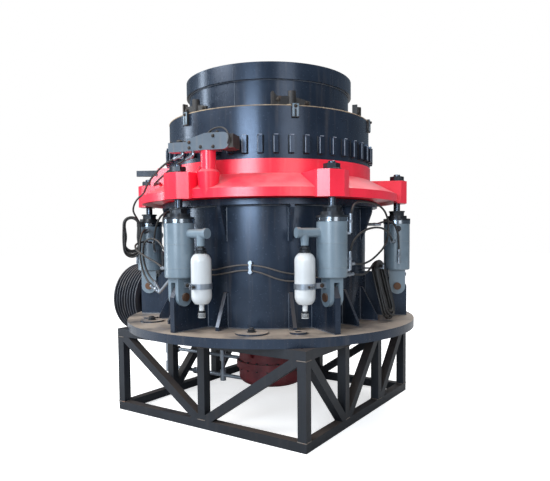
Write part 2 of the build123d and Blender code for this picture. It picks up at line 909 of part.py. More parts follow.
def cylinder_band():
    """The bright band round the top of a release cylinder."""
    return rod(chrome_band_r, cylinder_high_z, chrome_top_z) - rod_bore()


def cylinder_gland():
    """The dark gland above the band: ring, step, hexagon and wiper."""
    gland = rod(chrome_band_r, chrome_top_z, gland_low_z)
    gland += rod(gland_r, gland_low_z, gland_top_z)
    gland += hexagon(gland_nut_across, gland_top_z, gland_nut_top_z)
    gland += rod(gland_washer_r, gland_nut_top_z, gland_end_z)
    return gland - rod_bore()


def release_rod():
    """A rod from its cylinder up through the lug."""
    bar = rod(rod_r, rod_foot_z, rod_top_z)
    return chamfer(bar.edges().group_by(Axis.Z)[-1], rod_end_chamfer)


def rod_nut():
    """The hexagonal nut that holds the lug down."""
    nut = hexagon(nut_across, lug_top_z, lug_top_z + nut_height)
    nut &= Pos(0, 0, lug_top_z + nut_height) * Sphere(nut_across * 0.72)
    return nut - rod(rod_r, lug_top_z - 1.0, lug_top_z + nut_height + 1.0)


def cylinder_clevis():
    """The fork under a release cylinder, made with its cheeks either side of Y = 0."""
    gap_half = bracket_thickness / 2 + clevis_gap
    width = 2 * (gap_half + clevis_cheek)
    side_view = [(-clevis_radius, pin_z), (clevis_radius, pin_z)]
    side_view += [(clevis_radius, cylinder_low_z), (-clevis_radius, cylinder_low_z)]
    body = plate_on_xz(side_view, width)
    body += Pos(0, 0, pin_z) * Rot(90, 0, 0) * Cylinder(clevis_radius, width)
    slot_top = cylinder_low_z - clevis_bridge
    body -= slab(-2 * clevis_radius, 2 * clevis_radius, -gap_half, gap_half, pin_z - 2 * clevis_radius, slot_top)
    return body - Pos(0, 0, pin_z) * Rot(90, 0, 0) * Cylinder(pin_r, width + 2.0)


def clevis_pin():
    """The pin of a clevis with a round cap at each end."""
    half = bracket_thickness / 2 + clevis_gap + clevis_cheek
    lie = Pos(0, 0, pin_z) * Rot(90, 0, 0)
    pin = lie * Cylinder(pin_r, 2 * half)
    for side in (-1, 1):
        pin += lie * Pos(0, 0, side * (half + pin_overhang / 2)) * Cylinder(pin_cap_r, pin_overhang)
    return pin


def bottle():
    """A gas bottle with round shoulders and a flat foot."""
    low, high = bottle_low_z, bottle_high_z
    side_low, side_high = low + bottle_shoulder, high - bottle_shoulder
    side = Line((bottle_r, side_low), (bottle_r, side_high))
    shoulder = TangentArc((bottle_r, side_high), (bottle_neck_r, high), tangent=(0, 1))
    foot = TangentArc((bottle_r, side_low), (bottle_foot_r, low), tangent=(0, -1))
    axis = Line((0, high), (0, low))
    outline = Curve() + [foot, side, shoulder, Line((bottle_neck_r, high), (0, high)), axis,
                         Line((0, low), (bottle_foot_r, low))]
    return Pos(0, bottle_spacing, 0) * revolve(Plane.XZ * make_face(outline), Axis.Z)


def bottle_collar():
    """The collar and neck above a bottle, up to its tee."""
    collar_top = bottle_high_z + collar_height
    collar = rod(collar_r, bottle_high_z, collar_top)
    return Pos(0, bottle_spacing, 0) * (collar + rod(collar_neck_r, collar_top, neck_top_z))


def bottle_valve():
    """The small valve under a bottle."""
    valve_top = bottle_low_z - foot_neck_length
    neck = rod(foot_neck_r, valve_top, bottle_low_z)
    return Pos(0, bottle_spacing, 0) * (neck + rod(foot_valve_r, valve_top - foot_valve_height, valve_top))


def tee():
    """The tee piece that joins a cylinder, at the origin, to a bottle on its +Y side."""
    start = (Align.CENTER, Align.CENTER, Align.MIN)
    pipe = Rot(-90, 0, 0) * Cylinder(tee_r, bottle_spacing + tee_overhang, align=start)
    cap_at = bottle_spacing + tee_overhang - tee_cap_inset
    pipe += Pos(0, cap_at, 0) * Rot(-90, 0, 0) * Cylinder(tee_cap_r, tee_cap_length, align=start)
    leg = Cone(tee_leg_foot_r, tee_leg_top_r, tee_leg_length, align=(Align.CENTER, Align.CENTER, Align.MAX))
    pipe += Pos(0, bottle_spacing, 0) * leg
    return Pos(0, 0, tee_z) * pipe - rod(cylinder_r, cylinder_low_z, cylinder_high_z)


def strap():
    """The band round a bottle on the +Y side, with its plate to the clevis."""
    low, high = strap_z - strap_height / 2, strap_z + strap_height / 2
    clevis_side = bracket_thickness / 2 + clevis_gap + clevis_cheek
    band = Pos(0, bottle_spacing, 0) * tube(bottle_r + strap_thickness, bottle_r, low, high)
    plate = slab(-strap_plate / 2, strap_plate / 2, clevis_side, bottle_spacing, low, high)
    return band + (plate - Pos(0, bottle_spacing, 0) * rod(bottle_r, low - 1.0, high + 1.0))


def beside_cylinder(make, index, angle):
    """Place a shape made for a bottle on the +Y side, mirrored where the bottle is on the other side."""
    shape = make()
    if bottle_side(index) < 0:
        shape = mirror(shape, Plane.XZ)
    return on_ring(shape, cylinder_circle_r, angle)


def adjustment_cap():
    """The cap over the bowl, with its ring of upright bars."""
    cap = turned(
        [
            (cap_inner_r, ring_top_z),
            (cap_r, ring_top_z),
            (cap_r, cap_top_z),
            (bowl_mouth_r, cap_top_z),
            (bowl_mouth_r, cap_top_z - cap_lid),
            (cap_inner_r, cap_top_z - cap_lid),
        ]
    )
    low = ring_top_z + bar_rise
    bar = slab(cap_r - cap_wall / 2, cap_r + bar_depth, -bar_width / 2, bar_width / 2, low, low + bar_height)
    bars = [Rot(0, 0, 360.0 / bar_count * i) * bar for i in range(bar_count)]
    return cap.fuse(*bars)


def bowl():
    """The threaded bowl with the crushing chamber inside it."""
    top = cap_top_z - cap_lid
    flange_low = top - bowl_flange_thickness
    throat_low = seat_z + bowl_throat_rise
    bowl_flange_r = cap_inner_r - bowl_flange_edge
    return turned(
        [
            (bowl_liner_r, seat_z - bowl_foot_drop),
            (bowl_foot_r, seat_z - bowl_foot_drop),
            (bowl_thread_r, seat_z + bowl_thread_rise),
            (bowl_thread_r, flange_low),
            (bowl_flange_r, flange_low),
            (bowl_flange_r, top),
            (bowl_mouth_r, top),
            (bowl_throat_r, throat_low + bowl_throat_height),
            (bowl_throat_r, throat_low),
        ]
    )


def hopper_neck():
    """The feed hopper's round wall."""
    return tube(hopper_r, hopper_r - hopper_wall, cap_top_z, hopper_top_z - hopper_rim_lip)


def hopper_rim():
    """The heavier band round the top of the hopper."""
    return tube(hopper_rim_r, hopper_r, hopper_top_z - hopper_rim_height, hopper_top_z)


def hopper_clamp():
    """A clamp on the cap's lid: boss, two tapered wings, and a tab over the edge."""
    foot = cap_top_z + clamp_disc_thickness
    boss = rod(clamp_boss_r, cap_top_z, cap_top_z + clamp_boss_height)
    boss += rod(clamp_disc_r, cap_top_z, foot)
    wing = plate_on_xz(
        [
            (-clamp_wing_length, foot),
            (clamp_wing_length, foot),
            (clamp_wing_length, foot + clamp_wing_short),
            (0, foot + clamp_wing_mid),
            (-clamp_wing_length + clamp_wing_slope, foot + clamp_wing_mid),
            (-clamp_wing_length, foot + clamp_wing_tall),
        ],
        clamp_wing_thickness,
    )
    flange_end = -clamp_wing_length - clamp_wing_thickness
    depth = clamp_flange_depth / 2
    wing += slab(flange_end, -clamp_wing_length, -depth, depth, foot, foot + clamp_wing_tall)
    edge = cap_r - clamp_circle_r
    half = clamp_tab_width / 2
    outside = edge + clamp_tab_thickness
    strip = slab(0, outside, -half, half, cap_top_z, foot)
    tab = slab(edge, outside, -half, half, cap_top_z - clamp_tab_drop, foot)
    placed = Pos(clamp_circle_r, 0, 0) * (boss + Rot(0, 0, 90) * wing + strip + tab)
    return placed - rod(cap_r, ring_top_z, cap_top_z)


def clamp_angles():
    """Angles of the hopper clamps."""
    return [clamp_first_angle + 360.0 / clamp_count * i for i in range(clamp_count)]


def ram_frame():
    """The ram's own frame: X along its stroke, Y towards the cap, origin at the post's top."""
    x, y = polar(post_centre_r, post_angle)
    return Pos(x, y, post_top_z) * Rot(0, 0, ram_heading)


def ram_reach():
    """Distance from the crusher's axis to the ram's centre line."""
    return post_centre_r * math.cos(math.radians(post_angle + 90.0 - ram_heading))


def pusher_post():
    """The post on the adjustment ring that carries the ram."""
    foot = seat_z + 1.0
    post = turned(
        [
            (0, foot),
            (post_boss_foot_r, foot),
            (post_boss_top_r, post_boss_top_z),
            (post_r + post_boss_shoulder / 2, post_boss_top_z + post_boss_shoulder),
            (post_r, post_boss_top_z + post_boss_shoulder),
            (post_r, post_top_z),
            (0, post_top_z),
        ]
    )
    return on_ring(post, post_centre_r, post_angle) - ring_blank()


def ram_casing():
    """The ram's casing: tapered body, rounded cheek outside the pawl, and the box at its far end."""
    half = ram_casing_half_width
    body = plate_on_xz(
        [
            (-ram_casing_left, 0),
            (ram_casing_right, 0),
            (ram_casing_right, ram_casing_high),
            (0, ram_casing_high),
            (-ram_casing_left, ram_casing_low),
        ],
        2 * half,
    )
    cheek = slab(ram_casing_right - 10.0, ram_cheek_reach, -half, -half + ram_cheek_thickness, 0, ram_casing_high)
    cheek = fillet(cheek.edges().filter_by(Axis.Y).group_by(Axis.X)[-1], ram_cheek_corner)
    box_end = -ram_casing_left - ram_box_length
    box = slab(box_end, -ram_casing_left + 5.0, -ram_box_half_width, ram_box_half_width, 0, ram_box_height)
    rod_bore = Pos(ram_casing_right, 0, ram_casing_high / 2) * Rot(0, 90, 0)
    rod_bore *= Cylinder(ram_rod_r + running_gap, 2 * (ram_rod_length + 10.0))
    casing = body + cheek + box
    return ram_frame() * (casing - rod_bore)


def pawl():
    """The pawl block and its ram rod; at rest it stands clear of the cap's bars."""
    start = ram_casing_right + pawl_gap
    outer = -ram_casing_half_width + ram_cheek_thickness + pawl_gap
    tip = ram_reach() - cap_r - bar_depth - pawl_clearance
    outline = [
        (start, outer),
        (start + pawl_length, outer),
        (start + pawl_length, tip - pawl_nose_run),
        (start + pawl_length * pawl_tip_share, tip),
        (start + pawl_back_step, tip),
        (start, tip - pawl_back_run),
    ]
    block = Pos(0, 0, pawl_floor) * extrude(make_face(Polyline(*outline, close=True)), pawl_height)
    shaft = Rot(0, -90, 0) * Cylinder(ram_rod_r, ram_rod_length, align=(Align.CENTER, Align.CENTER, Align.MIN))
    return ram_frame() * (block + Pos(start + 5.0, 0, ram_casing_high / 2) * shaft)


def cover_disc(radius):
    """A blank disc on the base plate."""
    return rod(radius, plate_top_z, plate_top_z + cover_disc_thickness)


def plate_discs():
    """The raised discs on the base plate: one over each foundation hole, and two blank covers."""
    covers = [on_ring(cover_disc(size), radius, angle) for radius, angle, size in cover_discs]
    return group(around(foundation_disc, foundation_angles()) + covers)


def bar(start, end, radius):
    """A round bar between two points."""
    run = Vector(*end) - Vector(*start)
    return Plane(origin=start, z_dir=run) * Cylinder(
        radius, run.length, align=(Align.CENTER, Align.CENTER, Align.MIN)
    )


def bend_radii(points):
    """The largest tangent arc at each corner that its two runs leave room for."""
    corners = [Vector(*point) for point in points]
    radii = []
    for before, corner, after in zip(corners, corners[1:], corners[2:]):
        into, away = corner - before, after - corner
        half_turn = math.radians(into.get_angle(away)) / 2
        radii.append(0.45 * min(into.length, away.length) / math.tan(half_turn))
    return radii


def hose(points, radius=hose_r):
    """A hose along straight runs joined by tangent arcs."""
    path = FilletPolyline(*points, radius=bend_radii(points))
    return sweep(Plane(origin=path @ 0, z_dir=path % 0) * Circle(radius), path=path)


def beside_shell(points):
    """Turn points that were laid out on the photo's sizes into points at the same reach past the shell."""
    moved = []
    for x, y, z in points:
        reach = shell_r + math.hypot(x, y) - 740.0
        moved.append((*polar(reach, math.degrees(math.atan2(y, x))), plate_top_z + z - 670.0))
    return moved


def barrels():
    """The release cylinders' barrels, for seating fittings against them."""
    return [on_ring(rod(cylinder_r, cylinder_low_z, cylinder_high_z), cylinder_circle_r, a) for a in cylinder_angles()]


def oil_pipes():
    """The two oil pipes from the hub, with their cross joints and couplings."""
    y = -oil_pipe_offset
    high, low = hub_joint_z + oil_pipe_high_rise, hub_joint_z - oil_pipe_low_drop
    pipes = bar((-oil_pipe_left, y, high), (0, y, high), oil_pipe_r) + bar((-oil_pipe_left, y, low), (0, y, low), oil_pipe_r)
    for x, z in ((oil_coupling_high_x, high), (oil_coupling_low_x, low)):
        half = oil_coupling_length / 2
        pipes += bar((x - half, y, z), (x + half, y, z), oil_coupling_r)
    for x in (-oil_pipe_left, -oil_pipe_right):
        pipes += bar((x, y, low - oil_pipe_stub), (x, y, high + oil_pipe_stub), oil_pipe_r)
        for z in (low, high):
            pipes += bar((x, y, z - oil_joint_reach), (x, y, z + oil_joint_reach), oil_joint_r)
    core = rod(hub_r, hub_joint_z - 1.0, hub_top_z) + rod(hub_flange_r, hub_joint_z, hub_joint_z + hub_flange_thickness)
    return pipes - hub_cover() - core


def front_lines():
    """The two thin lines across the front of the shell, from cylinder to cylinder."""
    return group([hose(beside_shell(points), line_r) for points in (front_line_high, front_line_low)])


def line_clip():
    """The clip that holds the front lines to the shell."""
    middle = plate_top_z + clip_rise
    x0, x1 = shell_r - 5.0, shell_r + clip_depth
    plate = slab(x0, x1, -clip_width / 2, clip_width / 2, middle - clip_height / 2, middle + clip_height / 2)
    for rise in (-clip_height / 2, clip_height / 2):
        plate += Pos((x0 + x1) / 2, 0, middle + rise) * Rot(0, 90, 0) * Cylinder(clip_lobe_r, x1 - x0)
    plate += Pos(x1, 0, middle) * Rot(0, 90, 0) * Cylinder(clip_bolt_r, 14.0)
    lines = front_lines().solids()
    placed = on_ring(plate - shell_core(), 0, clip_angle)
    for line in lines:
        placed -= line
    return placed


def side_hoses():
    """The looped hoses left and right, held at both ends."""
    return group([hose(beside_shell(points)) for points in side_hose_points])


def fitting(points):
    """A hose fitting: round bars from point to point."""
    piece = bar(points[0], points[1], fitting_r)
    for start, end in zip(points[1:], points[2:]):
        piece += bar(start, end, fitting_r)
    return piece


def hoses_by_end(points_by_hose, placed, radius):
    """Hoses, each found by both of its end points."""
    found = {}
    for points in points_by_hose:
        found[points[0]] = found[points[-1]] = hose(placed(points), radius)
    return found


def hose_fittings():
    """The fittings of the side hoses and lines, cut to the barrels and the shell that they are screwed into."""
    filled = [rod(shell_r, plate_top_z, flange_low_z)] + barrels()
    hoses = hoses_by_end(side_hose_points + [right_lead], beside_shell, hose_r)
    hoses |= hoses_by_end([front_line_high, front_line_low], beside_shell, line_r)
    made = []
    for points in frame_fittings:
        piece = fitting(beside_shell(points)) - hoses[points[0]]
        for solid in filled:
            piece -= solid
        made.append(piece)
    made[14] += made.pop(15)
    return group([piece.solids().sort_by(SortBy.VOLUME)[-1] for piece in made])


def ram_hose_fittings():
    """The fittings under the ram's casing and on the guide bracket."""
    cut = []
    hoses = hoses_by_end([ram_lead, ram_return], beside_ring, hose_r)
    for points in ram_fittings:
        piece = fitting(beside_ring(points)) - ram_casing() - guide_bracket() - hoses[points[0]]
        cut.append(piece.solids().sort_by(SortBy.VOLUME)[-1])
    return group(cut)


def hank_hook():
    """The hook on the shell that the right hank hangs on."""
    z = plate_top_z + hook_rise
    reach = shell_r + hook_reach
    hook = bar((shell_r - 5.0, 0, z), (reach, 0, z), hook_r) + bar((reach, 0, z - hook_r), (reach, 0, z + hook_tip), hook_r)
    return on_ring(hook - shell_core(), 0, hook_angle)


def hank(size):
    """A wound hank standing in the XZ plane: a rounded ring whose band its turns fill."""
    height, width, depth = size
    outer = SlotOverall(height, width)
    inner = SlotOverall(height - 2 * hank_band, width - 2 * hank_band)
    ring = Rot(0, 0, 90) * extrude(outer - inner, depth / 2, both=True)
    return Rot(90, 0, 0) * ring


def right_hank():
    """The hank on the right, its foot on the base plate and its head on the hook."""
    leaning = Rot(0, -right_hank_lean, 0) * Rot(0, 0, 90) * hank(right_hank_size)
    x, y, z = beside_shell([right_hank_middle])[0]
    return Pos(x, y, z) * leaning


def left_hank():
    """The hank that hangs on the ram's hose over the ring's edge."""
    return Pos(*beside_ring([left_hank_middle])[0]) * Rot(0, 0, left_hank_heading) * hank(left_hank_size)


def beside_ring(points):
    """Turn points that were laid out on the photo's sizes into points at the same reach past the ring's band."""
    moved = []
    for x, y, z in points:
        reach = ring_band_r + math.hypot(x, y) - 980.0
        moved.append((*polar(reach, math.degrees(math.atan2(y, x))), seat_z + z - 1530.0))
    return moved


def right_hose_lead():
    """The hose from the near cylinder to its hank."""
    return hose(beside_shell(right_lead)) - right_hank()


def right_hose_end():
    """The connector on the free end of the right hank."""
    x, y, z = beside_shell([right_hank_middle])[0]
    side = right_hank_size[1] / 2 + fitting_r
    piece = Pos(x, y, z) * Rot(0, -right_hank_lean, 0) * Pos(0, side, 0) * Cylinder(fitting_r, hank_end_length)
    return piece


def ram_hose_lead():
    """The ram's hose over the ring's edge to its hank."""
    return hose(beside_ring(ram_lead)) - left_hank()


def ram_hose_return():
    """The ram's second hose, to the guide bracket."""
    return hose(beside_ring(ram_return))


def left_hose_end():
    """The connector on the free end of the left hank."""
    foot = Pos(*beside_ring([left_hank_middle])[0]) * Rot(0, 0, left_hank_heading)
    end_r = left_hank_size[1] / 2
    low = left_hank_size[0] / 2 - end_r + math.sqrt(end_r**2 - hank_end_shift**2)
    piece = Pos(hank_end_shift, 0, -low - hank_end_length / 2 + fitting_r) * Cylinder(fitting_r, hank_end_length)
    return foot * piece - left_hank()


def guide_arm():
    """The tapered guide arm that stands out past the ring."""
    half_in, half_out = guide_arm_wide / 2, guide_arm_narrow / 2
    outline = [
        (guide_arm_start, -half_in), (guide_arm_end, -half_out), (guide_arm_end, half_out), (guide_arm_start, half_in),
    ]
    high = ring_top_z + guide_rise - guide_foot + guide_arm_height * 2
    arm = Pos(0, 0, high - guide_arm_height) * extrude(make_face(Polyline(*outline, close=True)), guide_arm_height)
    return Rot(0, 0, guide_angle) * arm - guide_bracket()


def guide_bracket():
    """The bracket of the guide arm, on the ring's cone."""
    top = ring_top_z + guide_rise
    outline = [
        (ring_neck_r + guide_inner_gap, seat_z + 1.0),
        (ring_neck_r + guide_inner_gap + guide_foot, seat_z + 1.0),
        (ring_neck_r + guide_inner_gap + guide_foot, top - guide_foot),
        (ring_neck_r + guide_inner_gap + guide_foot * 0.6, top - guide_arm_height),
        (ring_neck_r + guide_inner_gap, top - guide_arm_height),
    ]
    plate = Rot(0, 0, guide_angle) * (plate_on_xz(outline, guide_plate) - ring_blank())
    return plate - around(ring_lug, cylinder_angles())


def nodes():
    """Every named piece of the crusher."""
    angles = cylinder_angles()
    pairs = list(enumerate(angles))
    return {
        "stand_base_frame": stand_frame(0.0),
        "stand_top_frame": stand_frame(stand_height - stand_tube),
        "stand_posts": stand_posts(),
        "stand_braces": stand_braces(),
        "base_plate": base_plate(),
        "foundation_discs": plate_discs(),
        "frame_shell": frame_shell(),
        "seat_flange": seat_flange(),
        "shell_ribs": group(around(shell_rib, rib_angles())),
        "shell_gussets": group(around(gusset, rib_angles())),
        "cylinder_brackets": group(around(cylinder_bracket, angles)),
        "frame_hub": frame_hub(),
        "hub_cover": hub_cover(),
        "hub_arms": group(around(hub_arm, (0, 90, 270))),
        "hub_webs": group(around(hub_web, (0, 90, 270))),
        "drive_housing": drive_housing(),
        "drive_shaft": drive_shaft(),
        "drive_wheel": drive_wheel(),
        "wheel_hub": wheel_hub(),
        "crushing_head": crushing_head(),
        "feed_plate": feed_plate(),
        "adjustment_ring": adjustment_ring(),
        "ring_neck": ring_neck(),
        "ring_lugs": group(around(ring_lug, angles)),
        "release_cylinders": group(on_ring(release_cylinder(), cylinder_circle_r, a) for a in angles),
        "cylinder_bands": group(on_ring(cylinder_band(), cylinder_circle_r, a) for a in angles),
        "cylinder_glands": group(on_ring(cylinder_gland(), cylinder_circle_r, a) for a in angles),
        "release_rods": group(on_ring(release_rod(), cylinder_circle_r, a) for a in angles),
        "rod_nuts": group(on_ring(rod_nut(), cylinder_circle_r, a) for a in angles),
        "cylinder_clevises": group(on_ring(cylinder_clevis(), cylinder_circle_r, a) for a in angles),
        "clevis_pins": group(on_ring(clevis_pin(), cylinder_circle_r, a) for a in angles),
        "gas_bottles": group(beside_cylinder(bottle, i, a) for i, a in pairs),
        "bottle_collars": group(beside_cylinder(bottle_collar, i, a) for i, a in pairs),
        "bottle_valves": group(beside_cylinder(bottle_valve, i, a) for i, a in pairs),
        "bottle_tees": group(beside_cylinder(tee, i, a) for i, a in pairs),
        "bottle_straps": group(beside_cylinder(strap, i, a) for i, a in pairs),
        "adjustment_cap": adjustment_cap(),
        "bowl": bowl(),
        "hopper_neck": hopper_neck(),
        "hopper_rim": hopper_rim(),
        "hopper_clamps": group(around(hopper_clamp, clamp_angles())),
        "pusher_post": pusher_post(),
        "ram_casing": ram_casing(),
        "pawl": pawl(),
        "oil_pipes": oil_pipes(),
        "front_lines": front_lines(),
        "side_hoses": side_hoses(),
        "hose_fittings": hose_fittings(),
        "hose_holders": group(line_clip().solids() + hank_hook().solids()),
        "right_hose_lead": right_hose_lead(),
        "right_hose_hank": right_hank(),
        "right_hose_end": right_hose_end(),
        "ram_hose_lead": ram_hose_lead(),
        "ram_hose_hank": left_hank(),
        "ram_hose_end": left_hose_end(),
        "ram_hose_return": ram_hose_return(),
        "ram_hose_fittings": ram_hose_fittings(),
        "guide_bracket": guide_bracket(),
        "guide_arm": guide_arm(),
    }


def main():
    """Write one file for each node."""
    os.makedirs("parts", exist_ok=True)
    for name, shape in nodes().items():
        export_step(shape, f"parts/{name}.step")


main()
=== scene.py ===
"""Cone crusher on a welded box-section stand: finishes, small parts, lights and camera.

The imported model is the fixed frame. Everything added here is in metres, in the frame's own axes, and rides
on one of its bodies.
"""

from __future__ import annotations

import json
import logging
import math
from dataclasses import dataclass
from enum import Enum
from typing import ClassVar, Iterable, Sequence

import bmesh
import bpy
from mathutils import Matrix, Vector

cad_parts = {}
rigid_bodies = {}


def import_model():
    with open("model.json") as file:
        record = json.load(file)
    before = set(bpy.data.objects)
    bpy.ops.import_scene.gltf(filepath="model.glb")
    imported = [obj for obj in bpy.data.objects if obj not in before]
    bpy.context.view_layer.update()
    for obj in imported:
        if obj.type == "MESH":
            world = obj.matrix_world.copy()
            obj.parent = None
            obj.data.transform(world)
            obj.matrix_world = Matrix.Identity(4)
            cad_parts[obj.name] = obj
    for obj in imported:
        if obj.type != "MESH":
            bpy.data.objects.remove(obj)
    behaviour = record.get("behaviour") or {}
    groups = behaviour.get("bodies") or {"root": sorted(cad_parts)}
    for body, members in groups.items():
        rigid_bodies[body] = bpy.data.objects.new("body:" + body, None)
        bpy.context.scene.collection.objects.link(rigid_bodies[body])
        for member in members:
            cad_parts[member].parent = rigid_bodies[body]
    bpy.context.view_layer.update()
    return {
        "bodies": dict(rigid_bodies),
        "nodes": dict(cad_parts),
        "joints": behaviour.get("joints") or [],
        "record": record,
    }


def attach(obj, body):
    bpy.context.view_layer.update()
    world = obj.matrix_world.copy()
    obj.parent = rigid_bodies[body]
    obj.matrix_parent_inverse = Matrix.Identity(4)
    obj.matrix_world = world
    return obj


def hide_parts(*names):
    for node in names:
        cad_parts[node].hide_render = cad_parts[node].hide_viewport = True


LOG = logging.getLogger("cone_crusher")
UP = Vector((0.0, 0.0, 1.0))
EAST = Vector((1.0, 0.0, 0.0))
# Placements that lay a shape made along Z down, along +X or along -Y.
TO_X = Matrix.Rotation(math.radians(90.0), 4, "Y")
TO_MINUS_Y = Matrix.Rotation(math.radians(90.0), 4, "X")

Pair = tuple[float, float]
Triple = tuple[float, float, float]
Materials = dict[str, bpy.types.Material]
Tree = bpy.types.ShaderNodeTree
Node = bpy.types.Node
Socket = bpy.types.NodeSocket


def linear(red: float, green: float, blue: float) -> tuple[float, float, float, float]:
    """Turn a screen colour into the scene's linear colour.

    Args:
        red: Red, 0 to 255.
        green: Green, 0 to 255.
        blue: Blue, 0 to 255.

    Returns:
        The linear colour with full alpha.
    """
    def one(value: float) -> float:
        """One channel, from 0 to 255 to linear."""
        share = value / 255.0
        return share / 12.92 if share <= 0.04045 else ((share + 0.055) / 1.055) ** 2.4

    return (one(red), one(green), one(blue), 1.0)


@dataclass(frozen=True)
class Finish:
    """A worn industrial finish, mixed from noise on object coordinates.

    Attributes:
        name: Name of the material.
        tone: Main colour, 0 to 255.
        shade: Colour of the large soft patches.
        metallic: How metallic the surface is.
        roughness: Middle roughness.
        patch_scale: Patches in one metre.
        gloss: Colour of the reflections seen straight on.
        coat: Clear coat on top.
        dust: Colour of the dust that lies on upward faces.
        dust_amount: How much of it lies there.
        rust: Colour of the rust or bare patches.
        rust_amount: Share of the surface with rust, 0 to 1.
        streak_amount: How strong the vertical streaks are.
        bump: Height of the small unevenness.
        bump_scale: Bumps in one metre.
        COAT_ROUGHNESS: Roughness of every clear coat.
        BUMP_DISTANCE: Height in metres that a bump of 1 stands for.
        ROUGHNESS_SPREAD: How far the roughness wanders to either side.
        DUST_ROUGHNESS: Roughness that full dust adds.
        SLOPES: How far a face looks up where dust begins to lie, and where it lies in full.
    """

    name: str
    tone: Triple
    shade: Triple
    metallic: float = 0.0
    roughness: float = 0.5
    patch_scale: float = 3.0
    gloss: Triple = (255, 255, 255)
    coat: float = 0.0
    dust: Triple = (168, 158, 146)
    dust_amount: float = 0.5
    rust: Triple = (94, 58, 40)
    rust_amount: float = 0.0
    streak_amount: float = 0.15
    bump: float = 0.15
    bump_scale: float = 160.0

    COAT_ROUGHNESS: ClassVar[float] = 0.25
    BUMP_DISTANCE: ClassVar[float] = 0.0015
    ROUGHNESS_SPREAD: ClassVar[float] = 0.07
    DUST_ROUGHNESS: ClassVar[float] = 0.5
    SLOPES: ClassVar[Pair] = (0.35, 0.9)

    def build(self) -> bpy.types.Material:
        """Make the material.

        Returns:
            The node material.
        """
        material = bpy.data.materials.new(self.name)
        material.use_nodes = True
        tree = material.node_tree
        shader = tree.nodes["Principled BSDF"]
        shader.inputs["Metallic"].default_value = self.metallic
        shader.inputs["Coat Weight"].default_value = self.coat
        shader.inputs["Coat Roughness"].default_value = self.COAT_ROUGHNESS
        shader.inputs["Specular Tint"].default_value = linear(*self.gloss)
        place = tree.nodes.new("ShaderNodeTexCoord")

        patches = self._noise(tree, place, self.patch_scale, 5.0, 0.62)
        colour = self._mix(tree, self._ramp(tree, patches, 0.36, 0.66), linear(*self.tone), linear(*self.shade))
        colour = self._streaks(tree, place, colour)
        colour = self._rust(tree, place, colour)
        lying = self._lying(tree, place, patches)
        colour = self._mix(tree, lying, colour, linear(*self.dust))
        tree.links.new(colour, shader.inputs["Base Color"])

        fine = self._noise(tree, place, self.bump_scale, 2.0, 0.5)
        self._roughness(tree, fine, lying, shader)
        bump = tree.nodes.new("ShaderNodeBump")
        bump.inputs["Strength"].default_value = self.bump
        bump.inputs["Distance"].default_value = self.BUMP_DISTANCE
        tree.links.new(fine, bump.inputs["Height"])
        tree.links.new(bump.outputs["Normal"], shader.inputs["Normal"])
        return material

    @staticmethod
    def _noise(tree: Tree, place: Node, scale: float, detail: float, roughness: float,
               stretch: float = 1.0) -> Socket:
        """Add a noise on object coordinates.

        Args:
            tree: The node tree.
            place: The texture coordinate node.
            scale: Features in one metre.
            detail: Octaves.
            roughness: How strong the small octaves are.
            stretch: Share of the scale that the vertical axis has.

        Returns:
            The noise's value socket.
        """
        mapping = tree.nodes.new("ShaderNodeMapping")
        mapping.inputs["Scale"].default_value = (1.0, 1.0, stretch)
        noise = tree.nodes.new("ShaderNodeTexNoise")
        noise.inputs["Scale"].default_value = scale
        noise.inputs["Detail"].default_value = detail
        noise.inputs["Roughness"].default_value = roughness
        tree.links.new(place.outputs["Object"], mapping.inputs["Vector"])
        tree.links.new(mapping.outputs["Vector"], noise.inputs["Vector"])
        return noise.outputs["Fac"]

    @staticmethod
    def _ramp(tree: Tree, value: Socket, low: float, high: float, top: float = 1.0) -> Socket:
        """Spread a value between two limits.

        Args:
            tree: The node tree.
            value: The socket to spread.
            low: Value that becomes 0.
            high: Value that becomes top.
            top: Highest result.

        Returns:
            The spread value's socket.
        """
        spread = tree.nodes.new("ShaderNodeMapRange")
        spread.interpolation_type = "SMOOTHSTEP"
        spread.inputs["From Min"].default_value = low
        spread.inputs["From Max"].default_value = high
        spread.inputs["To Max"].default_value = top
        tree.links.new(value, spread.inputs["Value"])
        return spread.outputs["Result"]

    @staticmethod
    def _mix(tree: Tree, share: Socket, first: Socket | tuple, second: Socket | tuple) -> Socket:
        """Mix two colours.

        Args:
            tree: The node tree.
            share: Socket with the share of the second colour.
            first: Colour or socket at 0.
            second: Colour or socket at 1.

        Returns:
            The mixed colour's socket.
        """
        mix = tree.nodes.new("ShaderNodeMix")
        mix.data_type = "RGBA"
        tree.links.new(share, mix.inputs["Factor"])
        for slot, value in (("A", first), ("B", second)):
            socket = next(i for i in mix.inputs if i.name == slot and i.type == "RGBA")
            if isinstance(value, tuple):
                socket.default_value = value
            else:
                tree.links.new(value, socket)
        return next(o for o in mix.outputs if o.type == "RGBA")

    def _streaks(self, tree: Tree, place: Node, colour: Socket) -> Socket:
        """Run faint dusty streaks down the surface.

        Args:
            tree: The node tree.
            place: The texture coordinate node.
            colour: The colour so far.

        Returns:
            The streaked colour's socket.
        """
        if self.streak_amount <= 0.0:
            return colour
        streaks = self._noise(tree, place, 26.0, 3.0, 0.6, stretch=0.06)
        share = self._ramp(tree, streaks, 0.5, 0.8, self.streak_amount)
        return self._mix(tree, share, colour, linear(*self.dust))

    def _rust(self, tree: Tree, place: Node, colour: Socket) -> Socket:
        """Add rusty or rubbed patches with ragged edges.

        Args:
            tree: The node tree.
            place: The texture coordinate node.
            colour: The colour so far.

        Returns:
            The rusty colour's socket.
        """
        if self.rust_amount <= 0.0:
            return colour
        spots = self._noise(tree, place, 9.0, 9.0, 0.72)
        edge = 0.72 - 0.34 * self.rust_amount
        return self._mix(tree, self._ramp(tree, spots, edge, edge + 0.08), colour, linear(*self.rust))

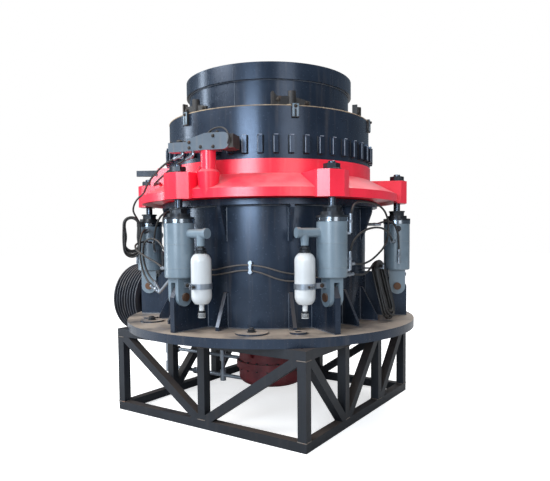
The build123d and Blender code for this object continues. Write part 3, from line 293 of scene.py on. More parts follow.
    def _lying(self, tree: Tree, place: Node, patches: Socket) -> Socket:
        """Find the share of dust, which lies on the faces that look up.

        Args:
            tree: The node tree.
            place: The texture coordinate node.
            patches: Noise that makes the dust uneven.

        Returns:
            The share's socket.
        """
        parts = tree.nodes.new("ShaderNodeSeparateXYZ")
        tree.links.new(place.outputs["Normal"], parts.inputs["Vector"])
        lying = tree.nodes.new("ShaderNodeMath")
        lying.operation = "MULTIPLY"
        tree.links.new(self._ramp(tree, parts.outputs["Z"], *self.SLOPES, self.dust_amount), lying.inputs[0])
        tree.links.new(self._ramp(tree, patches, 0.2, 0.6), lying.inputs[1])
        return lying.outputs["Value"]

    def _roughness(self, tree: Tree, fine: Socket, lying: Socket, shader: Node) -> None:
        """Vary the roughness a little over the surface, and make the dust matt.

        Args:
            tree: The node tree.
            fine: The small unevenness.
            lying: The share of dust.
            shader: The shader that gets the roughness.
        """
        spread = tree.nodes.new("ShaderNodeMapRange")
        spread.inputs["To Min"].default_value = self.roughness - self.ROUGHNESS_SPREAD
        spread.inputs["To Max"].default_value = self.roughness + self.ROUGHNESS_SPREAD
        matt = tree.nodes.new("ShaderNodeMath")
        matt.operation = "MULTIPLY_ADD"
        matt.use_clamp = True
        matt.inputs[1].default_value = self.DUST_ROUGHNESS
        tree.links.new(fine, spread.inputs["Value"])
        tree.links.new(lying, matt.inputs[0])
        tree.links.new(spread.outputs["Result"], matt.inputs[2])
        tree.links.new(matt.outputs["Value"], shader.inputs["Roughness"])


# The finish of each material slot of the record.
FINISHES: dict[str, Finish] = {
    "stand_paint": Finish("stand_blue_grey", (27, 32, 40), (20, 24, 30), roughness=0.45, dust=(100, 86, 76),
                          dust_amount=0.4, rust=(84, 52, 38), rust_amount=0.06, streak_amount=0.08),
    "frame_paint": Finish("frame_slate_paint", (33, 42, 55), (23, 31, 43), roughness=0.25, coat=0.3,
                          gloss=(186, 212, 250), dust=(176, 160, 143), dust_amount=0.95, streak_amount=0.06,
                          bump=0.03, bump_scale=60.0),
    "primer": Finish("red_oxide_primer", (112, 32, 38), (74, 24, 30), roughness=0.5, dust_amount=0.4,
                     rust=(84, 40, 34), rust_amount=0.2, streak_amount=0.05),
    "ring_paint": Finish("ring_red_enamel", (246, 36, 64), (230, 28, 54), roughness=0.3, coat=0.32,
                         dust=(240, 190, 190), dust_amount=0.3, streak_amount=0.06, bump=0.08),
    "cylinder_paint": Finish("cylinder_slate_enamel", (112, 128, 140), (97, 113, 125), roughness=0.3, coat=0.4,
                             dust=(150, 140, 126), dust_amount=0.5, streak_amount=0.1),
    "bottle_paint": Finish("bottle_white_enamel", (202, 205, 207), (184, 188, 191), roughness=0.32, coat=0.4,
                           dust=(150, 142, 130), dust_amount=0.25, streak_amount=0.22, bump=0.08),
    "cast_steel": Finish("cast_steel", (88, 82, 78), (60, 54, 52), metallic=0.45, roughness=0.6,
                         rust_amount=0.35, bump=0.5, bump_scale=90.0),
    "dark_steel": Finish("oiled_dark_steel", (46, 50, 56), (32, 34, 38), metallic=0.6, roughness=0.38,
                         dust_amount=0.25),
    "bright_steel": Finish("turned_bright_steel", (150, 158, 166), (118, 124, 132), metallic=1.0, roughness=0.2,
                           dust_amount=0.1, streak_amount=0.0, bump=0.05),
    "pin_steel": Finish("browned_pin_steel", (100, 70, 50), (72, 48, 36), metallic=0.4, roughness=0.55,
                        rust_amount=0.4),
    "zinc_plate": Finish("zinc_plate", (168, 176, 186), (140, 148, 158), metallic=0.8, roughness=0.34,
                         dust_amount=0.2, streak_amount=0.05, bump=0.08),
    "wheel_iron": Finish("wheel_cast_iron", (52, 56, 66), (38, 40, 46), metallic=0.25, roughness=0.5,
                         dust_amount=0.35, rust_amount=0.12, bump=0.4, bump_scale=110.0),
    "hose_rubber": Finish("hose_black_rubber", (46, 44, 43), (31, 30, 30), roughness=0.45,
                          dust=(120, 112, 102), dust_amount=0.3, streak_amount=0.0, bump=0.35, bump_scale=420.0),
    "line_sleeve": Finish("woven_line_sleeve", (98, 92, 88), (72, 68, 64), metallic=0.2, roughness=0.5,
                          dust_amount=0.3, streak_amount=0.0, bump=0.6, bump_scale=520.0),
}

# Finishes of small parts and of nodes that differ from their slot.
TRIMS: dict[str, Finish] = {
    "weld": Finish("painted_weld", (66, 78, 94), (46, 56, 70), roughness=0.34, coat=0.4, dust=(164, 152, 138),
                   dust_amount=0.8, rust_amount=0.2, bump=0.6, bump_scale=240.0),
    "stand_weld": Finish("stand_weld", (92, 84, 78), (66, 60, 58), roughness=0.5, rust=(128, 78, 46),
                         rust_amount=0.45, bump=0.6, bump_scale=240.0),
    "sealant": Finish("tan_sealant", (168, 150, 124), (132, 116, 96), roughness=0.7, bump=0.5, bump_scale=200.0,
                      dust_amount=0.2),
    "rusty_bolt": Finish("rusty_bolt", (62, 56, 52), (46, 40, 36), metallic=0.5, roughness=0.5,
                         rust=(104, 66, 42), rust_amount=0.4),
    "clamp_paint": Finish("weathered_clamp", (48, 45, 44), (32, 32, 34), metallic=0.2, roughness=0.5,
                          dust=(140, 124, 106), dust_amount=0.7, rust=(92, 64, 44), rust_amount=0.4,
                          streak_amount=0.3, bump=0.4, bump_scale=120.0),
    "dark_rod": Finish("oiled_rod", (84, 92, 102), (60, 66, 76), metallic=0.9, roughness=0.22,
                       dust_amount=0.1, streak_amount=0.0, bump=0.05),
    "ram_paint": Finish("ram_casing_grey", (84, 96, 108), (70, 81, 93), roughness=0.36, coat=0.3,
                        dust=(160, 134, 104), dust_amount=0.95, rust=(112, 88, 66), rust_amount=0.12,
                        streak_amount=0.3),
    # Light beads on the cap bars' top and one side: a painted highlight on their edges.
    "painted_highlight_edge": Finish("bar_edge_painted_highlight", (134, 146, 162), (110, 122, 138), roughness=0.3, coat=0.3, bump=0.05),
    # Dark beads round the cap bars' sides and foot: painted shade where the bars stand off the cap.
    "painted_shade_weld": Finish("painted_shade_weld", (15, 19, 27), (10, 13, 19), roughness=0.6, dust_amount=0.1, streak_amount=0.0),
}


@dataclass(frozen=True)
class View:
    """The photograph's camera.

    Attributes:
        place: Where it stands.
        heading: Direction that it looks along, seen from above.
        pitch: How far it looks down, in radians.
        roll: Turn about its own axis, in radians.
        lens: Focal length in millimetres.
        sensor: Width of the sensor in millimetres.
        shift: Vertical shift of the frame.
    """

    place: Triple = (2.442, -3.579, 1.271)
    heading: Pair = (-0.557, 0.831)
    pitch: float = 0.0543
    roll: float = -0.0089
    lens: float = 35.81
    sensor: float = 36.0
    shift: float = 0.0499

    def build(self) -> None:
        """Make the camera and use it."""
        flat = Vector((*self.heading, 0.0)).normalized()
        ahead = flat * math.cos(self.pitch) - UP * math.sin(self.pitch)
        side = flat.cross(UP)
        above = side.cross(ahead)
        turned = side * math.cos(self.roll) + above * math.sin(self.roll)
        above = turned.cross(ahead)
        camera = bpy.data.cameras.new("photo_camera")
        camera.lens = self.lens
        camera.sensor_width = self.sensor
        camera.shift_y = self.shift
        camera.clip_end = 200.0
        body = bpy.data.objects.new("photo_camera", camera)
        body.matrix_world = Matrix.Translation(self.place) @ Matrix((turned, above, -ahead)).transposed().to_4x4()
        bpy.context.scene.collection.objects.link(body)
        bpy.context.scene.camera = body


@dataclass(frozen=True)
class Softbox:
    """One large area light.

    Attributes:
        name: Name of the light.
        place: Where it hangs.
        aim: Point that it faces.
        size: Width and height.
        power: Power in watts.
        tint: Colour of the light.
    """

    name: str
    place: Triple
    aim: Triple
    size: Pair
    power: float
    tint: Triple = (1.0, 1.0, 1.0)

    def build(self) -> None:
        """Hang the light."""
        lamp = bpy.data.lights.new(self.name, "AREA")
        lamp.shape = "RECTANGLE"
        lamp.size, lamp.size_y = self.size
        lamp.energy = self.power
        lamp.color = self.tint
        body = bpy.data.objects.new(self.name, lamp)
        body.location = self.place
        body.rotation_euler = (Vector(self.aim) - Vector(self.place)).to_track_quat("-Z", "Y").to_euler()
        bpy.context.scene.collection.objects.link(body)


@dataclass(frozen=True)
class Studio:
    """Pale floor, soft lights and white surroundings.

    Attributes:
        floor_half: Half the floor's side.
        floor_glow: Light that the floor adds, so that it stays as pale as the background.
        ambient: Strength of the surroundings for diffuse light.
        mirrored: Strength of the surroundings in glossy surfaces.
        floor_tone: How pale the floor is for the camera.
        floor_bounce: How pale it is for the light on the object.
    """

    floor_half: float = 40.0
    floor_glow: float = 0.6
    ambient: float = 0.58
    mirrored: float = 0.22
    floor_tone: float = 0.86
    floor_bounce: float = 0.46

    def build(self) -> None:
        """Make the floor, the lights and the world."""
        self._floor()
        self._world()
        for light in (
            Softbox("key_softbox", (-3.4, -6.4, 6.8), (0.0, 0.0, 1.2), (4.0, 4.0), 745.0),
            Softbox("fill_softbox", (6.8, -4.5, 3.2), (0.0, 0.0, 1.0), (3.0, 4.0), 110.0),
            Softbox("front_strip", (1.7, -7.6, 2.7), (0.0, 0.0, 1.5), (2.5, 2.2), 300.0, (0.74, 0.87, 1.0)),
            Softbox("left_strip", (-6.6, -3.4, 2.6), (0.0, 0.0, 1.5), (0.8, 4.6), 150.0, (0.86, 0.94, 1.0)),
            Softbox("top_softbox", (0.4, 3.4, 7.6), (0.0, 0.2, 1.4), (5.0, 4.0), 380.0),
        ):
            light.build()

    def _floor(self) -> None:
        """Lay the floor."""
        mesh = bpy.data.meshes.new("studio_floor")
        shape = bmesh.new()
        bmesh.ops.create_grid(shape, x_segments=1, y_segments=1, size=self.floor_half)
        shape.to_mesh(mesh)
        shape.free()
        floor = bpy.data.objects.new("studio_floor", mesh)
        bpy.context.scene.collection.objects.link(floor)
        material = bpy.data.materials.new("studio_floor")
        material.use_nodes = True
        tree = material.node_tree
        seen = tree.nodes["Principled BSDF"]
        seen.inputs["Base Color"].default_value = (*[self.floor_tone] * 3, 1.0)
        seen.inputs["Roughness"].default_value = 0.9
        seen.inputs["Specular IOR Level"].default_value = 0.1
        seen.inputs["Emission Color"].default_value = (1.0, 1.0, 1.0, 1.0)
        seen.inputs["Emission Strength"].default_value = self.floor_glow
        soft = tree.nodes.new("ShaderNodeBsdfDiffuse")
        soft.inputs["Color"].default_value = (*[self.floor_bounce] * 3, 1.0)
        rays = tree.nodes.new("ShaderNodeLightPath")
        mix = tree.nodes.new("ShaderNodeMixShader")
        tree.links.new(rays.outputs["Is Camera Ray"], mix.inputs["Fac"])
        tree.links.new(soft.outputs["BSDF"], mix.inputs[1])
        tree.links.new(seen.outputs["BSDF"], mix.inputs[2])
        tree.links.new(mix.outputs["Shader"], tree.nodes["Material Output"].inputs["Surface"])
        mesh.materials.append(material)
        floor.location.z = -0.001

    def _world(self) -> None:
        """Make the surroundings white for the camera, soft for the light and darker in reflections."""
        world = bpy.data.worlds.new("studio_world")
        bpy.context.scene.world = world
        world.use_nodes = True
        tree = world.node_tree
        tree.nodes.clear()
        rays = tree.nodes.new("ShaderNodeLightPath")
        out = tree.nodes.new("ShaderNodeOutputWorld")
        shaders = []
        for tint, strength in (((0.96, 0.98, 1.0, 1.0), self.ambient), ((0.66, 0.82, 1.0, 1.0), self.mirrored),
                               ((1.0, 1.0, 1.0, 1.0), 1.0)):
            shader = tree.nodes.new("ShaderNodeBackground")
            shader.inputs["Color"].default_value = tint
            shader.inputs["Strength"].default_value = strength
            shaders.append(shader.outputs["Background"])
        for share, other in (("Is Glossy Ray", shaders[1]), ("Is Camera Ray", shaders[2])):
            mix = tree.nodes.new("ShaderNodeMixShader")
            tree.links.new(rays.outputs[share], mix.inputs["Fac"])
            tree.links.new(shaders[0], mix.inputs[1])
            tree.links.new(other, mix.inputs[2])
            shaders[0] = mix.outputs["Shader"]
        tree.links.new(shaders[0], out.inputs["Surface"])
        bpy.context.scene.view_settings.view_transform = "Standard"


@dataclass(frozen=True)
class Wardrobe:
    """Gives every CAD node the finish of its material slot, and softens its edges.

    Attributes:
        own: Nodes with a finish of their own, from the trims.
        edges: Nodes whose edges are softened, with the width in metres.
        sharp: Angle in degrees from which an edge is softened.
    """

    frame: dict
    own: tuple[tuple[str, str], ...] = (("hopper_clamps", "clamp_paint"), ("release_rods", "dark_rod"),
                                        ("bottle_valves", "bottle_paint"), ("ram_casing", "ram_paint"))
    edges: tuple[tuple[str, float], ...] = (
        ("stand_base_frame", 0.004), ("stand_top_frame", 0.004), ("stand_posts", 0.004), ("stand_braces", 0.004),
        ("cylinder_brackets", 0.003), ("shell_gussets", 0.003), ("shell_ribs", 0.003), ("ram_casing", 0.004),
        ("ring_lugs", 0.006), ("hopper_clamps", 0.002), ("cylinder_clevises", 0.003), ("pawl", 0.003),
        ("guide_bracket", 0.003), ("guide_arm", 0.003), ("rod_nuts", 0.002), ("base_plate", 0.003),
        ("adjustment_ring", 0.004), ("bottle_straps", 0.001),
    )
    sharp: float = 35.0

    def dress(self) -> Materials:
        """Make the finishes and put them on the nodes.

        Returns:
            The materials by name of slot or trim.
        """
        materials = {name: finish.build() for name, finish in {**FINISHES, **TRIMS}.items()}
        slots = {entry["node"]: entry["material_slot"] for entry in self.frame["record"]["subparts"]}
        own = dict(self.own)
        for name, node in self.frame["nodes"].items():
            material = materials[own.get(name, slots[name])]
            if not node.material_slots:
                node.data.materials.append(material)
            for place in node.material_slots:
                place.material = material
        for name, width in self.edges:
            soft = self.frame["nodes"][name].modifiers.new("edge", "BEVEL")
            soft.width = width
            soft.segments = 2
            soft.limit_method = "ANGLE"
            soft.angle_limit = math.radians(self.sharp)
            soft.harden_normals = True
        return materials


class Body(Enum):
    """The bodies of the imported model."""

    FRAME = "frame"
    RING = "ring"
    BOWL = "bowl"
    RAM = "ram"
    DRIVE = "countershaft"


def around(radius: float, angle: float, height: float) -> Matrix:
    """Place a shape that was made on the +X side out at a radius.

    Args:
        radius: Distance from the crusher's axis.
        angle: Angle in degrees.
        height: Height of its origin.

    Returns:
        The placement.
    """
    return Matrix.Rotation(math.radians(angle), 4, "Z") @ Matrix.Translation((radius, 0.0, height))


def facing(point: Sequence[float], ahead: Sequence[float]) -> Matrix:
    """Place a shape that was made along Z at a point, along a direction.

    Args:
        point: Where its origin goes.
        ahead: Where its Z axis points.

    Returns:
        The placement.
    """
    return Matrix.Translation(point) @ Vector(ahead).to_track_quat("Z", "Y").to_matrix().to_4x4()


def divided(corners: Iterable[Sequence[float]], pitch: float = 0.012) -> list[Vector]:
    """Points at a close pitch along straight lines, for the lumps of a weld.

    Args:
        corners: The lines' corners.
        pitch: Distance between points.

    Returns:
        The points.
    """
    corners = [Vector(corner) for corner in corners]
    points = [corners[0]]
    for start, end in zip(corners, corners[1:]):
        count = max(1, round((end - start).length / pitch))
        points += [start.lerp(end, step / count) for step in range(1, count + 1)]
    return points


def ring_path(radius: float, height: float, count: int) -> list[Vector]:
    """Points of a level circle about the crusher's axis.

    Args:
        radius: Its radius.
        height: Its height.
        count: Number of points.

    Returns:
        The points.
    """
    turns = (math.tau * step / count for step in range(count))
    return [Vector((radius * math.cos(t), radius * math.sin(t), height)) for t in turns]


def ridges(outer: float, groove: float, low: float, pitch: float, count: int = 4) -> list[Pair]:
    """Points of radius and height along the ridges of a crimped sleeve.

    Args:
        outer: Radius on the ridges.
        groove: Radius between them.
        low: Height of the first ridge.
        pitch: Distance between ridges.
        count: Number of ridges.

    Returns:
        The points.
    """
    points = []
    for step in range(count):
        foot = low + pitch * step
        points += [(outer, foot), (outer, foot + 0.004), (groove, foot + 0.005), (groove, foot + pitch - 0.001)]
    return points


class Blank:
    """A piece in the making, in metres.

    Attributes:
        shape: Its mesh so far.
        SHARP: Angle in degrees from which an edge stays sharp.
        BEAD_SIDES: Facets in the round of a bead.
    """

    SHARP: ClassVar[float] = 34.0
    BEAD_SIDES: ClassVar[int] = 6

    def __init__(self) -> None:
        """Start an empty piece."""
        self.shape = bmesh.new()

    def _take(self, part: bmesh.types.BMesh, place: Matrix) -> None:
        """Move a finished part into place and keep it.

        Args:
            part: The part, which is used up.
            place: Where it goes.
        """
        bmesh.ops.transform(part, matrix=place, verts=part.verts)
        carrier = bpy.data.meshes.new("carrier")
        part.to_mesh(carrier)
        part.free()
        self.shape.from_mesh(carrier)
        bpy.data.meshes.remove(carrier)

    def turn(self, outline: Sequence[Pair], place: Matrix, steps: int) -> None:
        """Turn an outline about Z.

        Args:
            outline: Points of radius and height.
            place: Where the turned shape goes.
            steps: Facets in the round, 6 for a hexagon.
        """
        part = bmesh.new()
        points = [part.verts.new((radius, 0.0, height)) for radius, height in outline]
        edges = [part.edges.new(pair) for pair in zip(points, points[1:])]
        bmesh.ops.spin(part, geom=points + edges, axis=(0.0, 0.0, 1.0), cent=(0.0, 0.0, 0.0), angle=math.tau,
                       steps=steps, use_merge=True, use_duplicate=False)
        bmesh.ops.remove_doubles(part, verts=part.verts, dist=1e-6)
        self._take(part, place)

    def stud(self, radius: float, low: float, high: float, place: Matrix, steps: int, inner: float = 0.0,
             cut: Pair | None = None) -> None:
        """Turn a plain upright shape with a chamfer round its top.

        Args:
            radius: Its radius.
            low: Height of its foot.
            high: Height of its top.
            place: Where it goes.
            steps: Facets in the round, 6 for a hexagon.
            inner: Radius of the hole through it.
            cut: Width and height of the chamfer.
        """
        top = [(radius, high - cut[1]), (radius - cut[0], high)] if cut else [(radius, high)]
        self.turn([(inner, low), (radius, low), *top, (inner, high)], place, steps)

    def nut(self, radius: float, low: float, high: float, place: Matrix, inner: float = 0.0,
            cut: Pair = (0.002, 0.002)) -> None:
        """Turn a hexagon with a chamfer at both ends.

        Args:
            radius: Radius at its corners.
            low: Height of its foot.
            high: Height of its top.
            place: Where it goes.
            inner: Radius of the hole through it.
            cut: Width and height of the chamfers.
        """
        face, along = radius - cut[0], cut[1]
        self.turn([(inner, low), (face, low), (radius, low + along), (radius, high - along), (face, high),
                   (inner, high)], place, 6)

    def band(self, inner: float, outer: float, low: float, high: float, slope: float, place: Matrix,
             steps: int) -> None:
        """Turn a raised band with sloping edges.

        Args:
            inner: Radius of its feet.
            outer: Radius of its face.
            low: Height of its lower foot.
            high: Height of its upper foot.
            slope: Height of each sloping edge.
            place: Where it goes.
            steps: Facets in the round.
        """
        self.turn([(inner, low), (outer, low + slope), (outer, high - slope), (inner, high)], place, steps)

    def plate(self, outline: Sequence[Pair], low: float, high: float, place: Matrix, edge: float = 0.001) -> None:
        """Raise a flat outline and soften its edges.

        Args:
            outline: Points in the XY plane.
            low: Its underside.
            high: Its top.
            place: Where the plate goes.
            edge: Width of the softened edges.
        """
        part = bmesh.new()
        face = part.faces.new([part.verts.new((x, y, low)) for x, y in outline])
        raised = bmesh.ops.extrude_face_region(part, geom=[face])
        tops = [item for item in raised["geom"] if isinstance(item, bmesh.types.BMVert)]
        bmesh.ops.translate(part, verts=tops, vec=(0.0, 0.0, high - low))
        bmesh.ops.bevel(part, geom=list(part.edges), offset=edge, segments=2, affect="EDGES", profile=0.5,
                        material=-1)
        self._take(part, place)

    def bead(self, path: Sequence[Vector], radius: float, closed: bool = False, lumps: float = 0.14) -> None:
        """Lay an uneven bead along points.

        Args:
            path: The points.
            radius: Middle radius of the bead.
            closed: Whether it runs back to its start.
            lumps: How uneven it is.
        """
        part = bmesh.new()
        rings = []
        for index, point in enumerate(path):
            before = path[index - 1] if closed or index else point
            after = path[(index + 1) % len(path)] if closed or index < len(path) - 1 else point
            ahead = (after - before).normalized()
            side = ahead.cross(UP if abs(ahead.z) < 0.9 else EAST).normalized()
            over = side.cross(ahead)
            size = radius * (1.0 + lumps * math.sin(2.4 * index) * math.cos(1.1 * index))
            turns = (math.tau * step / self.BEAD_SIDES for step in range(self.BEAD_SIDES))
            rings.append([part.verts.new(point + size * (math.cos(t) * side + math.sin(t) * over)) for t in turns])
        for first, second in zip(rings, rings[1:] + rings[:1] if closed else rings[1:]):
            for step in range(self.BEAD_SIDES):
                after = (step + 1) % self.BEAD_SIDES
                part.faces.new((first[step], first[after], second[after], second[step]))
        if not closed:
            part.faces.new(rings[0])
            part.faces.new(rings[-1])
        self._take(part, Matrix.Identity(4))

    def weld(self, corners: Iterable[Sequence[float]], radius: float, place: Matrix | None = None,
             closed: bool = False) -> None:
        """Lay a bead along straight lines.

        Args:
            corners: The lines' corners. A closed bead's last corner is its first one again.
            radius: Radius of the bead.
            place: Where the lines go, if they aren't in place.
            closed: Whether it runs back to its start.
        """
        path = [place @ point if place else point for point in divided(corners)]
        self.bead(path[:-1] if closed else path, radius, closed)

    def finish(self, name: str, body: Body, slot: str, material: bpy.types.Material) -> bpy.types.Object:
        """Make the piece and let it ride on its body.

        Args:
            name: Name of the piece.
            body: The body that it rides on.
            slot: The record's material slot; not used.
            material: Its material.

        Returns:
            The piece.
        """
        bmesh.ops.recalc_face_normals(self.shape, faces=self.shape.faces)
        mesh = bpy.data.meshes.new(name)
        self.shape.to_mesh(mesh)
        self.shape.free()
        mesh.shade_smooth()
        mesh.set_sharp_from_angle(angle=math.radians(self.SHARP))
        mesh.materials.append(material)
        return carried(bpy.data.objects.new(name, mesh), body)


def carried(piece: bpy.types.Object, body: Body) -> bpy.types.Object:
    """Put a new piece in the scene and let it ride on its body.

    Args:
        piece: The piece.
        body: The body that it rides on.

    Returns:
        The piece.
    """
    bpy.context.scene.collection.objects.link(piece)
    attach(piece, body.value)
    LOG.info("%s rides on %s", piece.name, body.value)
    return piece


def tube(name: str, points: Sequence[Vector], radius: float, steps: int, material: bpy.types.Material,
         capped: bool = False) -> bpy.types.Object:
    """Make a round hose along control points.

    Args:
        name: Name of the piece.
        points: The control points.
        radius: Outside radius.
        steps: Steps along each part of the curve.
        material: Its material.
        capped: Whether its ends are closed.

    Returns:
        The hose, not in the scene yet.
    """
    line = bpy.data.curves.new(name, "CURVE")
    line.dimensions = "3D"
    line.bevel_depth = radius
    line.bevel_resolution = 3
    line.resolution_u = steps
    line.use_fill_caps = capped
    spline = line.splines.new("NURBS")
    spline.points.add(len(points) - 1)
    for point, place in zip(spline.points, points):
        point.co = (*place, 1.0)
    spline.order_u = 3
    spline.use_endpoint_u = True
    line.materials.append(material)
    return bpy.data.objects.new(name, line)


@dataclass(frozen=True)
class Bolt:
    """A hexagonal bolt with its washer, standing along Z.

    Attributes:
        size: Thread diameter.
    """

    size: float

    def cut(self, blank: Blank, place: Matrix) -> None:
        """Add the bolt to a blank.

        Args:
            blank: The piece in the making.
            place: Foot of the washer.
        """
        s = self.size
        blank.stud(1.12 * s, 0.0, 0.16 * s, place, 20, cut=(0.08 * s, 0.05 * s))
        blank.stud(0.92 * s, 0.16 * s, 0.8 * s, place, 6, cut=(0.12 * s, 0.1 * s))
        blank.stud(0.5 * s, 0.8 * s, 1.08 * s, place, 14, cut=(0.08 * s, 0.08 * s))


@dataclass(frozen=True)
class Hank:
    """Hose wound into a long hank, hanging from its upper end.

    Attributes:
        middle: Its centre.
        width: Direction across its turns.
        depth: Direction through the hank.
        above: Direction of its upper end.
        half_height: Half its height, to the hose's centre line.
        seats: The radius and depth of each turn, in winding order.
        slack: How much shorter than the longest each turn hangs.
        bow: How far the sides of each turn bow inward.
        entry: Angle in degrees at which the first turn starts.
    """

    middle: Vector
    width: Vector
    depth: Vector
    above: Vector
    half_height: float
    seats: tuple[Pair, ...]
    slack: tuple[float, ...]
    bow: tuple[float, ...]
    entry: float

    def at(self, across: float, through: float, high: float) -> Vector:
        """Find a point from the hank's own directions.

        Args:
            across: Distance across its turns.
            through: Distance through the hank.
            high: Distance up.

        Returns:
            The point.
        """
        return self.middle + across * self.width + through * self.depth + high * self.above

    def turn(self, index: int) -> list[Vector]:
        """Find one turn's points: down the far side, round the foot and up again.

        Args:
            index: Which turn.

        Returns:
            Its points, from the upper end round to the upper end.
        """
        radius, through = self.seats[index]
        following = self.seats[min(index + 1, len(self.seats) - 1)]
        outer = max(seat[0] for seat in self.seats)
        rise = self.half_height - outer
        fall = rise - self.slack[index]
        places = [(angle, rise) for angle in range(75, 0, -30)]
        places += [(0, share * rise) for share in (0.55, 0.0, -0.55)]
        places += [(angle, -fall) for angle in range(-15, -180, -30)]
        places += [(180, share * rise) for share in (-0.55, 0.0, 0.55)]
        places += [(angle, rise) for angle in range(165, 90, -30)]
        points = []
        for step, (angle, level) in enumerate(places):
            share = max(0.0, (step - len(places) * 0.55) / (len(places) * 0.45))
            reach = radius + (following[0] - radius) * share
            inward = through + (following[1] - through) * share
            wander = 0.0016 * math.sin(1.7 * step + 2.3 * index)
            turned = math.radians(angle)
            drawn = self.bow[index] * max(0.0, 1.0 - abs(level) / rise) if angle in (0, 180) else 0.0
            points.append(self.at((reach + wander - drawn) * math.cos(turned), inward + wander,
                                  level + reach * math.sin(turned)))
        return points

    def points(self) -> list[Vector]:
        """Find all turns' points in winding order.

        Returns:
            The points, from the angle of entry on.
        """
        found = [point for index in range(len(self.seats)) for point in self.turn(index)]
        first = next(i for i, angle in enumerate(range(75, 0, -30)) if angle <= self.entry)
        return found[first:]


@dataclass(frozen=True)
class FreeHose:
    """A hose with one free end, from its fitting to its hank and its connector.

    Attributes:
        name: Name of the piece.
        body: The body that it rides on.
        lead: Route from the fitting to the hank.
        hank: The wound part.
        tail: Last points, in the hank's own directions, down to the connector.
        length: Length of the hose.
        replaced: The CAD nodes that it stands for.
        connector: The CAD node of its connector.
        diameter: Outside diameter.
    """

    name: str
    body: Body
    lead: tuple[Triple, ...]
    hank: Hank
    tail: tuple[Triple, ...]
    length: float
    replaced: tuple[str, ...]
    connector: str
    diameter: float = 0.014

    def dress(self, materials: Materials) -> None:
        """Lay the hose and put its connector on.

        Args:
            materials: The materials by slot or trim.
        """
        points = [Vector(p) for p in self.lead] + self.hank.points() + [self.hank.at(*p) for p in self.tail]
        hose = tube(self.name, points, self.diameter / 2, 4, materials["hose_rubber"], capped=True)
        carried(hose, self.body)
        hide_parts(*self.replaced)
        end = self._connector(points[-1], points[-1] - points[-2], materials["zinc_plate"])

    def _connector(self, point: Vector, ahead: Vector, material: bpy.types.Material) -> bpy.types.Object:
        """Make the crimped connector with its union nut.

        Args:
            point: The hose's end.
            ahead: Direction in which the hose ends.
            material: Its material.

        Returns:
            The connector.
        """
        blank = Blank()
        place = facing(point, ahead)
        outline = [(0.0, -0.012), (0.0088, -0.012), (0.0092, -0.010), *ridges(0.0096, 0.0086, -0.008, 0.007),
                   (0.0094, 0.022), (0.0075, 0.024), (0.0075, 0.034), (0.0, 0.034)]
        blank.turn(outline, place, 20)
        blank.nut(0.0109, 0.030, 0.048, place, cut=(0.0011, 0.002))
        blank.stud(0.0066, 0.046, 0.056, place, 16, cut=(0.0008, 0.002))
        end = blank.finish(self.connector + "_crimped", self.body, "zinc_plate", material)
        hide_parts(self.connector)
        return end


# Both lengths are counted in turns on the photographed hanks and measured on the laid curves.
RIGHT_HOSE = FreeHose(
    name="right_hose",
    body=Body.FRAME,
    lead=((0.893, -0.405, 1.036), (0.892, -0.330, 1.030), (0.886, -0.240, 1.022), (0.876, -0.150, 1.020),
          (0.866, -0.065, 1.035), (0.858, 0.005, 1.062), (0.853, 0.062, 1.086)),
    hank=Hank(
        middle=Vector((0.9035, 0.115, 0.895)), width=Vector((0.0, 1.0, 0.0)),
        depth=Vector((0.9673, 0.0, 0.2538)), above=Vector((-0.2538, 0.0, 0.9673)), half_height=0.213,
        seats=((0.076, -0.018), (0.065, -0.019), (0.053, -0.019), (0.053, 0.0), (0.053, 0.019), (0.065, 0.019),
               (0.065, 0.0), (0.076, 0.001), (0.076, 0.019)),
        slack=(0.004, 0.020, 0.034, 0.012, 0.026, 0.010, 0.030, 0.0, 0.016),
        bow=(0.0, 0.004, 0.006, 0.010, 0.003, -0.003, 0.005, 0.0, 0.002), entry=75.0),
    tail=((0.066, 0.018, 0.172), (0.076, 0.017, 0.135), (0.084, 0.013, 0.100), (0.090, 0.006, 0.067),
          (0.093, 0.0, 0.035)),
    length=8.9,
    replaced=("right_hose_lead", "right_hose_hank"),
    connector="right_hose_end",
)

RAM_HOSE = FreeHose(
    name="ram_hose",
    body=Body.RING,
    lead=((-0.050, -0.968, 1.798), (-0.100, -0.975, 1.784), (-0.160, -0.974, 1.764), (-0.230, -0.958, 1.738),
          (-0.305, -0.932, 1.710), (-0.380, -0.898, 1.684), (-0.450, -0.860, 1.660), (-0.515, -0.818, 1.638),
          (-0.577, -0.772, 1.620), (-0.638, -0.729, 1.609), (-0.700, -0.686, 1.603), (-0.760, -0.660, 1.592),
          (-0.808, -0.652, 1.565), (-0.838, -0.650, 1.522), (-0.853, -0.640, 1.484)),
    hank=Hank(
        middle=Vector((-0.865, -0.648, 1.290)), width=Vector((0.6652, 0.7466, 0.0)),
        depth=Vector((-0.7466, 0.6652, 0.0)), above=Vector((0.0, 0.0, 1.0)), half_height=0.158,
        seats=((0.064, 0.0), (0.064, 0.017), (0.053, 0.017), (0.053, 0.0), (0.053, -0.017), (0.064, -0.017)),
        slack=(0.016, 0.002, 0.026, 0.040, 0.012, 0.0), bow=(0.003, 0.0, 0.008, 0.012, 0.004, 0.0), entry=45.0),
    tail=((0.043, -0.017, 0.141), (0.058, -0.017, 0.105), (0.060, -0.016, 0.050), (0.059, -0.015, -0.010),
          (0.054, -0.012, -0.065), (0.047, -0.006, -0.112), (0.041, 0.0, -0.140), (0.040, 0.0, -0.156)),
    length=5.5,
    replaced=("ram_hose_lead", "ram_hose_hank"),
    connector="ram_hose_end",
)


